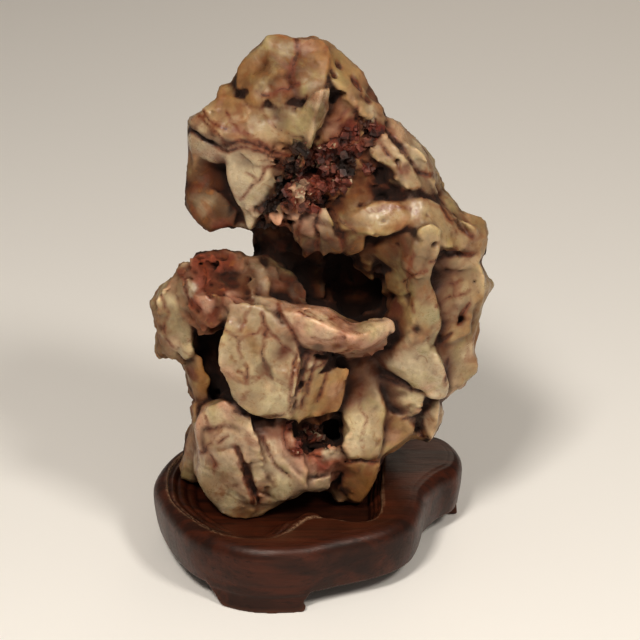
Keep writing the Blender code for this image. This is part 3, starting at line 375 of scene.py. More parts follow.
    "toe": ("pale", 1.8, 16, [(423, 403, 10), (436, 402, 9), (444, 412, 8), (442, 424, 9),
        (434, 432, 11), (428, 438, 11), (424, 430, 11), (422, 415, 11)]),
    "heel": ("tan", 1.8, 20, [(376, 430, 13), (385, 414, 13), (402, 417, 14), (414, 422, 12),
        (410, 434, 12), (392, 448, 14), (378, 458, 15), (374, 446, 14)]),
    "thigh": ("cream", 3.0, 26, [(348, 377, 10), (360, 371, 11), (372, 374, 12), (379, 390, 14),
        (387, 410, 15), (382, 430, 18), (379, 445, 19), (377, 456, 18), (361, 459, 19), (350, 456, 19),
        (343, 440, 19), (339, 420, 17), (342, 400, 14)]),
    "foot": ("ochre", 2.0, 18, [(345, 463, 15), (360, 461, 17), (378, 462, 16), (382, 470, 14),
        (376, 483, 14), (368, 496, 14), (362, 505, 14), (353, 500, 14), (345, 490, 12), (343, 475, 13)]),
    "foot_back": ("grey", 1.6, 14, [(330, 486, 7), (340, 477, 8), (347, 484, 9), (347, 501, 9),
        (336, 503, 7)]),
    "finger": ("pink", 1.1, 15, [(277, 304, 21), (296, 308, 20), (312, 307, 19), (328, 310, 19),
        (340, 320, 20), (349, 327, 21), (284, 316, 27), (305, 316, 28), (325, 328, 31), (349, 340, 33),
        (290, 338, 28), (295, 344, 28), (308, 350, 28), (325, 354, 28), (349, 351, 29)]),
    "finger_tip": ("pink", 1.1, 13, [(347, 327, 21), (365, 323, 21), (378, 320, 22), (387, 323, 23),
        (388, 330, 24), (382, 336, 27), (374, 342, 30), (362, 347, 31), (348, 348, 31), (349, 339, 33),
        (366, 335, 32)]),
    "finger_knob": ("pale", 2.2, 10, [(374, 322, 23), (381, 319, 22), (388, 323, 23), (389, 329, 24),
        (383, 332, 26), (374, 330, 27)]),
    "under_finger": ("brown", 1.2, 14, [(318, 353, 25), (349, 346, 28), (375, 342, 27), (383, 336, 24),
        (381, 347, 23), (368, 354, 22), (345, 357, 22)]),
    "flake": ("cream", 1.0, 12, [(231, 312, 24), (245, 305, 24), (258, 307, 25), (264, 318, 27),
        (276, 329, 28), (288, 336, 29), (296, 347, 29), (301, 362, 30), (298, 385, 30), (293, 405, 29),
        (288, 419, 27), (268, 416, 28), (250, 410, 28), (232, 396, 28), (227, 388, 28), (226, 372, 28),
        (218, 360, 27), (218, 350, 27), (224, 335, 27), (228, 322, 25)]),
    "flake_cap": ("pale", 1.4, 14, [(242, 304, 20), (258, 298, 19), (272, 300, 20), (278, 308, 22),
        (274, 315, 24), (258, 311, 24)]),
    "flake_inset": ("grey", 1.0, 14, [(262, 312, 24), (277, 308, 23), (283, 318, 25), (290, 334, 28),
        (284, 334, 28), (273, 327, 27), (264, 319, 26)]),
    "chip": ("green", 1.0, 10, [(303, 357, 26), (313, 356, 26), (328, 361, 24), (324, 368, 24),
        (314, 376, 25), (303, 379, 27)]),
    "slat_a": ("cream", 0.8, 12, [(297, 370, 28), (303, 379, 27), (303, 396, 27), (298, 417, 25),
        (290, 419, 26), (294, 396, 28)]),
    "slat_b": ("tan", 0.8, 14, [(303, 390, 26), (316, 376, 25), (327, 373, 23), (314, 392, 25),
        (307, 412, 25), (300, 418, 25)]),
    "slat_c": ("tan", 0.8, 16, [(311, 399, 24), (321, 381, 23), (338, 370, 21), (346, 373, 19),
        (343, 386, 20), (339, 400, 20), (336, 411, 20), (318, 413, 22), (308, 415, 24)]),
    "plug": ("red", 0.8, 16, [(287, 430, 14), (300, 422, 14), (318, 419, 12), (323, 432, 11),
        (331, 441, 10), (328, 451, 11), (312, 458, 13), (300, 451, 15), (290, 449, 16)]),
    "knee": ("pink", 2.2, 26, [(212, 404, 20), (222, 400, 21), (236, 403, 22), (241, 411, 22),
        (235, 421, 23), (240, 438, 23), (237, 451, 23), (222, 453, 23), (209, 456, 21), (199, 455, 19),
        (196, 440, 17), (195, 425, 17), (201, 412, 18)]),
    "shin_left": ("pale", 3.0, 30, [(199, 455, 19), (210, 458, 23), (224, 451, 25), (240, 452, 25),
        (243, 470, 25), (247, 485, 25), (257, 503, 23), (255, 512, 20), (245, 520, 17), (232, 519, 17),
        (215, 506, 17), (203, 490, 17), (197, 472, 17)]),
    "seam_ridge": ("pale", 1.4, 12, [(237, 417, 22), (246, 414, 23), (252, 434, 25), (258, 456, 25.5),
        (264, 478, 24.5), (254, 476, 23), (246, 454, 23.5), (240, 434, 23)]),
    "shin_right": ("pale", 2.2, 24, [(249, 438, 22), (262, 437, 23), (275, 452, 25), (286, 468, 27),
        (300, 478, 27), (304, 487, 25), (297, 494, 23), (280, 500, 21), (263, 504, 19), (258, 490, 21),
        (254, 470, 23), (249, 455, 23)]),
    "heel_left": ("tan", 1.6, 14, [(256, 505, 19), (275, 500, 19), (285, 498, 18), (272, 509, 17),
        (258, 515, 17), (250, 519, 17)]),
    "apron": ("pink", 1.4, 22, [(248, 418, 19), (268, 420, 20), (285, 421, 21), (289, 430, 21),
        (290, 449, 22), (301, 456, 23), (306, 470, 25), (301, 479, 26), (286, 467, 25), (273, 451, 24),
        (262, 437, 22), (250, 437, 21)]),
    "fringe": ("rose", 0.9, 18, [(300, 457, 21), (320, 457, 20), (334, 447, 18), (346, 446, 16),
        (349, 456, 15), (342, 468, 15), (338, 476, 15), (328, 481, 17), (308, 484, 21), (302, 482, 23),
        (301, 470, 23)]),
    "fringe_lip": ("pale", 1.0, 12, [(302, 480, 23), (316, 480, 23), (328, 478, 20), (326, 488, 19),
        (306, 489, 22)]),
    "wing": ("green", 2.4, 26, [(149, 299, 4), (158, 287, 3), (170, 276, 3), (181, 272, 7),
        (187, 284, 12), (192, 302, 14), (193, 318, 14), (194, 340, 12), (192, 353, 11), (184, 358, 9),
        (172, 345, 9), (164, 330, 7), (156, 320, 5), (149, 309, 4)]),
    "wing_low": ("brown", 2.0, 20, [(156, 322, 3), (165, 331, 6), (173, 346, 8), (180, 359, 7),
        (170, 359, 5), (160, 358, 3), (156, 350, 2), (157, 335, 2)]),
    "red_block": ("red", 1.2, 28, [(180, 264, 3), (192, 261, 2), (200, 253, 1), (215, 251, -1),
        (232, 251, -2), (241, 258, 2), (243, 268, 6), (250, 285, 12), (252, 298, 17), (240, 305, 20),
        (225, 305, 20), (205, 303, 18), (192, 299, 15), (184, 280, 10)]),
    "red_shelf": ("red", 1.2, 18, [(192, 300, 15), (205, 302, 19), (225, 304, 21), (232, 311, 22),
        (227, 323, 21), (218, 325, 20), (206, 326, 18), (198, 331, 15), (192, 323, 14)]),
    "far_edge": ("black", 1.0, 12, [(232, 250, -8), (242, 255, -10), (256, 257, -12), (263, 262, -10),
        (252, 266, -6), (240, 262, -4)]),
    "wedge_a": ("cream", 1.0, 14, [(245, 265, 4), (256, 264, 4), (262, 275, 8), (269, 288, 12),
        (264, 296, 15), (256, 292, 13), (249, 278, 8)]),
    "wedge_b": ("brown", 1.0, 16, [(258, 263, 2), (266, 259, 2), (279, 268, 4), (291, 278, 6),
        (299, 284, 8), (301, 292, 10), (285, 293, 11), (270, 291, 11), (264, 278, 7)]),
    "wedge_tip": ("black", 1.0, 12, [(293, 286, 10), (300, 283, 10), (305, 291, 11), (303, 303, 13),
        (294, 302, 13)]),
    "left_post": ("ochre", 1.6, 22, [(184, 362, 3), (196, 357, 9), (206, 366, 9), (209, 380, 9),
        (207, 396, 9), (201, 408, 9), (196, 409, 6), (191, 396, 3), (186, 382, 1), (184, 370, 1)]),
    "left_ear": ("dark", 1.2, 14, [(189, 405, -4), (195, 401, -3), (199, 408, -1), (196, 416, -2),
        (190, 414, -5)]),
    "left_back": ("grey", 2.0, 15, [(197, 415, 5), (191, 424, 1), (186, 440, -3), (182, 458, -6),
        (190, 474, -3), (201, 470, 4), (200, 440, 7)]),
    "crown_bridge": ("amber", 2.2, 20, [(282, 40, 2), (306, 38, 2.5), (301, 60, 9), (295, 84, 12.5),
        (279, 77, 12.5), (286, 58, 9)]),
    "brow_bridge": ("tan", 1.8, 20, [(243, 103, 12.5), (262, 104, 15), (276, 128, 20), (268, 147, 20),
        (248, 144, 20.5), (246, 120, 17)]),
    "shin_bridge": ("rose", 2.0, 20, [(238, 455, 23.5), (254, 456, 23.5), (262, 480, 23.5),
        (264, 500, 20), (248, 503, 20), (242, 480, 23)]),
    "saddle_a": ("tan", 1.4, 14, [(246, 88, 13), (260, 84, 13.5), (266, 93, 15), (258, 101, 15.5),
        (247, 98, 14)]),
    "saddle_b": ("tan", 1.4, 14, [(264, 82, 13.5), (283, 83, 14), (290, 96, 16), (278, 104, 17),
        (265, 99, 16)]),
    "pebble_a": ("pale", 0.8, 9, [(291, 189, 23), (298, 186, 23), (304, 190, 23), (304, 198, 23),
        (297, 202, 23), (291, 197, 23)]),
    "pebble_b": ("rose", 0.8, 9, [(307, 183, 23), (313, 180, 23), (317, 187, 23), (314, 194, 23),
        (308, 192, 23)]),
    "pebble_c": ("pink", 0.8, 9, [(283, 206, 22), (292, 203, 22), (300, 208, 22), (296, 215, 22),
        (286, 214, 22)]),
    "pebble_d": ("pink", 0.8, 9, [(268, 209, 20), (276, 207, 20), (280, 213, 20), (274, 219, 20),
        (268, 215, 20)]),
    "leaf": ("pale", 1.0, 10, [(316, 212, 20), (324, 211, 20), (331, 222, 20), (331, 233, 20),
        (324, 236, 20), (318, 226, 20)]),
    "leaf_left": ("pink", 1.0, 10, [(298, 216, 19), (310, 214, 20), (314, 224, 20), (310, 234, 19),
        (300, 230, 18)]),
    "right_fill": ("tan", 1.6, 16, [(440, 310, 9), (468, 304, 8), (471, 330, 10), (450, 340, 12),
        (438, 328, 13)]),
    "knee_bridge": ("cream", 2.4, 20, [(203, 434, 20.5), (226, 430, 23.5), (243, 438, 24.3),
        (245, 464, 24.3), (222, 474, 23), (203, 466, 20)]),
    "fringe_a": ("amber", 1.6, 12, [(292, 222, 18), (306, 222, 19), (316, 232, 18), (314, 248, 15),
        (304, 256, 13), (295, 244, 15)]),
    "fringe_b": ("amber", 1.6, 12, [(318, 228, 20), (330, 230, 20), (340, 238, 19), (338, 252, 15),
        (328, 262, 13), (319, 250, 15)]),
    "ledge_under": ("umber", 1.8, 14, [(336, 226, 18), (352, 228, 19), (362, 234, 19), (360, 246, 15),
        (348, 254, 13), (338, 244, 15)]),
    "ledge_fill": ("cream", 1.2, 16, [(436, 251, 13), (456, 251, 11), (476, 252, 7), (477, 264, 6),
        (458, 267, 9), (437, 266, 12)]),
    "shoulder_bridge": ("cream", 2.0, 18, [(340, 88, 12), (362, 96, 10), (372, 112, 9.5), (352, 112, 11)]),
    "back_crown": ("cream", 2.0, -24, [(262, 52, -22), (300, 46, -24), (340, 62, -24), (352, 104, -34),
        (300, 122, -38), (246, 106, -32), (240, 78, -26)]),
    "back_temple": ("tan", 2.0, -24, [(196, 122, -14), (244, 96, -24), (264, 150, -30), (250, 204, -30),
        (206, 208, -24), (190, 165, -18)]),
    "back_nape": ("cream", 2.0, -24, [(246, 102, -32), (320, 100, -37), (338, 168, -38), (304, 206, -36),
        (256, 198, -34)]),
    "back_ear": ("pink", 2.0, -22, [(322, 92, -30), (372, 104, -22), (398, 138, -24), (394, 188, -30),
        (346, 200, -34), (326, 150, -35)]),
    "back_shoulder": ("cream", 2.0, -22, [(384, 126, -14), (428, 158, -14), (440, 188, -16),
        (424, 214, -26), (384, 210, -30), (374, 162, -26)]),
    "back_rib": ("green", 2.0, -22, [(396, 198, -26), (442, 202, -16), (478, 232, -14), (476, 256, -20),
        (432, 254, -28), (394, 232, -32)]),
    "back_flank": ("cream", 2.0, -22, [(424, 248, -26), (480, 254, -14), (487, 286, -14),
        (474, 322, -18), (430, 312, -30)]),
    "back_hip": ("tan", 2.0, -22, [(420, 304, -30), (472, 324, -18), (471, 345, -18), (476, 366, -18),
        (448, 384, -24), (412, 372, -32)]),
    "back_spine": ("rose", 2.0, -22, [(306, 196, -36), (394, 192, -32), (410, 250, -34), (384, 292, -38),
        (316, 284, -40)]),
    "back_neck": ("grey", 2.0, -20, [(258, 214, -28), (312, 200, -35), (322, 290, -38), (276, 312, -34),
        (258, 284, -28)]),
    "back_cap": ("rose", 2.0, -22, [(156, 296, -12), (186, 270, -16), (234, 260, -22), (256, 300, -32),
        (204, 332, -30), (158, 336, -18)]),
    "back_wing": ("cream", 2.0, -22, [(160, 330, -14), (230, 312, -28), (240, 380, -30), (204, 398, -26),
        (188, 382, -20)]),
    "back_belly": ("cream", 2.0, -26, [(240, 302, -34), (330, 290, -40), (346, 368, -43),
        (302, 402, -40), (236, 386, -34)]),
    "back_loin": ("pink", 2.0, -26, [(328, 290, -40), (418, 302, -34), (424, 368, -34), (382, 400, -38),
        (340, 382, -42)]),
    "back_heel": ("tan", 2.0, -26, [(192, 404, -16), (242, 386, -26), (268, 400, -29), (262, 450, -29),
        (236, 472, -24), (196, 474, -16)]),
    "back_sole": ("green", 2.0, -26, [(254, 394, -34), (332, 388, -36), (336, 452, -33), (302, 472, -28),
        (258, 470, -28)]),
    "back_leg": ("cream", 2.0, -26, [(330, 392, -36), (394, 386, -32), (406, 404, -24), (372, 446, -24),
        (342, 470, -26)]),
    "back_toe": ("tan", 2.0, -18, [(396, 394, -14), (438, 402, -6), (436, 426, -6), (420, 438, -8),
        (400, 436, -14)]),
}

# Spaces open to the front: depth, then the points of the mouth.
HOLLOWS = {
    "cave": (46, [(326, 248, 34), (350, 264, 34), (372, 270, 34), (388, 294, 34), (390, 318, 34),
        (372, 320, 34), (352, 325, 34), (338, 318, 34), (322, 300, 34), (318, 268, 34)]),
    "left_hollow": (30, [(198, 330, 26), (220, 326, 26), (216, 345, 26), (213, 360, 26), (221, 374, 26),
        (225, 394, 26), (218, 402, 26), (209, 400, 26), (209, 380, 26), (202, 360, 26), (196, 345, 26)]),
    "undercut": (10, [(306, 358, 34), (340, 360, 34), (378, 354, 34), (376, 366, 34), (345, 370, 34),
        (326, 368, 34)]),
    "low_cavity": (32, [(320, 418, 30), (334, 412, 30), (344, 420, 30), (344, 438, 30), (332, 444, 30),
        (322, 436, 30)]),
}
# The stone's outline on the sheet, clockwise from the crown.
OUTLINE = [
    (262, 42), (266, 34), (278, 34), (290, 37), (308, 39), (317, 35), (325, 39), (334, 50), (346, 58),
    (358, 68), (364, 78), (373, 91), (384, 107), (386, 117), (394, 118), (401, 123), (408, 131),
    (420, 141), (432, 155), (440, 168), (443, 190), (453, 196), (461, 203), (470, 213), (484, 222),
    (486, 234), (484, 252), (479, 262), (487, 278), (492, 285), (486, 298), (480, 320), (473, 342),
    (473, 354), (478, 366), (476, 374), (464, 386), (456, 392), (447, 399), (440, 402), (444, 411),
    (441, 422), (434, 433), (426, 447), (420, 442), (408, 441), (396, 449), (383, 456), (381, 466),
    (372, 485), (362, 505), (348, 502), (338, 500), (328, 490), (304, 490), (296, 496), (284, 501),
    (263, 517), (250, 520), (235, 519), (222, 512), (208, 499), (196, 500), (184, 500), (183, 470),
    (185, 440), (191, 420), (190, 405), (196, 401), (187, 389), (184, 374), (181, 364), (171, 359),
    (160, 359), (156, 350), (157, 330), (150, 312), (148, 301), (157, 288), (170, 278), (180, 265),
    (191, 262), (197, 253), (215, 251), (240, 253), (243, 256), (254, 256), (254, 248), (250, 242),
    (234, 233), (230, 226), (217, 229), (210, 232), (200, 224), (187, 208), (185, 196), (186, 178),
    (189, 150), (188, 124), (190, 117), (200, 111), (210, 105), (217, 97), (220, 87), (232, 83),
    (237, 67), (245, 57),
]
# Cracks cut into the stone: half width in millimetres, then squares of the sheet.
CRACKS = {
    "lip": (0.9, [(189, 129), (200, 136), (212, 143), (221, 148), (229, 151)]),
    "cheek_left": (0.35, [(266, 168), (262, 178), (250, 188), (240, 200)]),
    "cheek_right": (0.35, [(266, 166), (278, 168), (290, 170)]),
    "cheek_short": (0.3, [(246, 173), (258, 180)]),
    "crown_slit": (0.8, [(299, 105), (304, 99), (308, 95)]),
    "worm_a": (1.1, [(336, 61), (339, 66), (342, 70)]),
    "worm_b": (1.1, [(331, 71), (334, 75), (336, 79)]),
    "worm_c": (1.2, [(350, 78), (354, 82), (358, 87), (361, 92)]),
    "worm_d": (1.1, [(362, 95), (366, 99), (369, 103)]),
    "inset_crack": (0.4, [(278, 304), (284, 318), (292, 332), (300, 346), (304, 356)]),
    "inset_edge": (0.4, [(262, 322), (272, 334), (283, 345), (293, 352)]),
    "nose_crack": (0.3, [(196, 113), (208, 124), (220, 136), (226, 146)]),
    "panel_slit": (0.8, [(357, 108), (356, 120)]),
    "black_slot": (1.3, [(376, 197), (388, 199), (402, 200)]),
    "cap_crease": (0.7, [(380, 124), (392, 138), (402, 150), (410, 160), (419, 172), (434, 177)]),
    "bar_top": (0.6, [(380, 143), (389, 154), (398, 163), (401, 172)]),
    "bar_under": (1.3, [(362, 160), (374, 172), (386, 184), (396, 188)]),
    "knotted": (0.5, [(230, 144), (240, 140), (252, 143), (264, 149), (278, 153), (290, 156)]),
    "rim_crease": (0.7, [(440, 203), (450, 212), (460, 222), (470, 236)]),
    "paddle_under": (0.9, [(380, 376), (400, 385), (418, 391), (426, 394)]),
    "low_under": (0.8, [(402, 419), (412, 418), (422, 412)]),
    "face_foot": (0.5, [(437, 343), (446, 337), (453, 333)]),
    "post_foot": (0.4, [(404, 282), (414, 274), (426, 270)]),
    "face_top": (0.6, [(430, 262), (446, 256), (462, 254)]),
    "ridge_under": (1.2, [(440, 252), (452, 253), (464, 254), (472, 254)]),
    "flank_slit": (0.9, [(469, 303), (464, 312), (457, 326)]),
    "low_crease": (0.6, [(452, 333), (446, 338), (438, 342)]),
    "toe_crevice": (1.3, [(409, 418), (417, 426), (424, 438)]),
    "leg_top": (0.9, [(347, 461), (362, 460), (381, 463)]),
    "slab_slit": (0.8, [(308, 455), (322, 457)]),
    "slat_left": (0.5, [(297, 350), (293, 372), (290, 396), (288, 412)]),
    "slat_middle": (0.5, [(319, 352), (313, 372), (306, 396)]),
    "slat_right": (0.5, [(331, 358), (324, 382), (316, 402)]),
    "chip_foot": (0.5, [(303, 372), (314, 370), (324, 362)]),
    "under_flake": (1.2, [(226, 396), (236, 408), (248, 415), (262, 417), (276, 416)]),
    "finger_foot": (0.7, [(300, 346), (318, 352), (334, 354), (350, 350)]),
    "red_edge": (0.8, [(183, 276), (188, 292), (192, 306)]),
    "red_split": (0.5, [(198, 258), (206, 272), (204, 288), (212, 300)]),
    "slat_slit": (0.7, [(309, 352), (303, 372), (296, 395), (293, 412)]),
    "fringe_split_a": (0.8, [(317, 214), (316, 226), (318, 238), (318, 252)]),
    "fringe_split_b": (0.7, [(335, 220), (340, 234), (342, 250)]),
    "fringe_split_c": (0.6, [(299, 212), (301, 222), (298, 232), (300, 244)]),
    "shin_cut": (1.4, [(237, 446), (242, 460), (247, 474), (253, 488), (259, 502)]),
    "seam_cut": (0.6, [(262, 436), (268, 452), (277, 466), (290, 476)]),
    "knee_crack": (0.3, [(197, 450), (206, 452), (213, 456), (216, 466)]),
}
# Round pits: squares of the sheet, then the radius in millimetres.
PITS = [
    (268, 104, 1.5), (238, 94, 1.5), (246, 92, 1.3), (303, 102, 1.3), (262, 80, 0.6), (300, 155, 2.0),
    (345, 160, 2.4), (283, 186, 2.4), (281, 198, 2.0), (292, 178, 2.2), (318, 162, 1.8),
    (336, 184, 1.8), (306, 190, 1.6), (274, 210, 1.8), (398, 162, 1.3), (384, 219, 1.2),
    (427, 215, 0.9), (375, 270, 2.4), (436, 248, 1.4), (460, 320, 1.6), (474, 282, 0.8),
    (478, 292, 0.8), (375, 236, 1.2), (434, 247, 1.7), (379, 268, 1.9), (397, 244, 1.0),
    (418, 241, 1.8), (340, 93, 2.2), (333, 98, 1.8), (352, 148, 1.6), (372, 160, 1.4), (330, 175, 1.8),
    (310, 170, 1.5), (360, 205, 1.0), (326, 440, 2.0), (342, 421, 2.2), (322, 418, 2.6),
    (332, 438, 2.2), (338, 412, 1.8),
]
# Lines of colour in the stone: width in millimetres, then squares of the sheet.
VEINS = {
    "crown": (1.4, [(296, 38), (298, 52), (294, 66), (290, 78)]),
    "flake": (0.3, [(252, 300), (246, 316), (240, 332), (238, 350), (246, 366), (248, 384)]),
    "flake_side": (0.4, [(225, 330), (238, 338), (252, 336), (262, 330)]),
    "flake_low": (0.3, [(238, 372), (252, 378), (268, 374), (284, 384)]),
    "finger": (0.3, [(300, 312), (318, 320), (338, 318), (352, 326)]),
    "finger_side": (0.3, [(312, 338), (330, 340), (346, 336)]),
    "thigh": (0.4, [(362, 384), (358, 400), (366, 420), (362, 440)]),
    "wing": (0.4, [(160, 296), (168, 312), (164, 330), (172, 346)]),
    "nose": (0.3, [(204, 112), (212, 122), (224, 128), (240, 130)]),
    "brow": (0.4, [(262, 108), (270, 122), (284, 132), (300, 138)]),
    "ridge": (0.4, [(370, 212), (384, 206), (402, 208), (418, 214)]),
    "panel_a": (0.3, [(318, 118), (330, 124), (342, 116), (350, 110)]),
    "slat_a": (0.8, [(300, 362), (298, 380), (293, 400), (291, 414)]),
    "slat_b": (0.6, [(310, 376), (306, 392), (300, 408)]),
    "knee": (0.4, [(205, 417), (208, 427), (213, 430), (227, 420)]),
    "knee_low": (0.5, [(205, 452), (208, 443), (222, 440), (230, 435)]),
    "shin": (0.4, [(197, 452), (207, 452), (212, 455), (215, 463), (213, 473)]),
    "shin_groove": (1.6, [(240, 463), (245, 476), (250, 490), (253, 503)]),
    "under_flake": (1.4, [(235, 412), (250, 417), (267, 417), (283, 414)]),
    "cavity_rim": (1.0, [(284, 424), (283, 436), (287, 448), (300, 456)]),
    "flake_rim": (0.7, [(262, 312), (266, 330), (262, 352), (268, 372)]),
    "crown_low": (0.9, [(256, 92), (270, 96), (284, 90), (300, 84)]),
    "brow_side": (0.5, [(226, 112), (236, 128), (252, 136), (268, 150)]),
    "tooth_top": (0.7, [(229, 150), (244, 146), (262, 152), (280, 160)]),
    "ledge_under": (0.8, [(330, 206), (346, 226), (360, 236)]),
    "post_edge": (0.6, [(414, 252), (410, 270), (408, 292), (414, 312)]),
    "paddle_edge": (0.6, [(376, 352), (384, 366), (402, 382), (424, 392)]),
    "face_cracks": (0.4, [(434, 290), (448, 284), (462, 280)]),
    "face_low": (0.4, [(436, 306), (450, 296), (470, 292)]),
    "right_low": (1.0, [(447, 360), (448, 374), (444, 386)]),
    "outer_crease": (1.2, [(441, 206), (450, 220), (462, 230), (474, 238)]),
    "shoulder_crease": (1.1, [(415, 170), (424, 173), (436, 176)]),
}
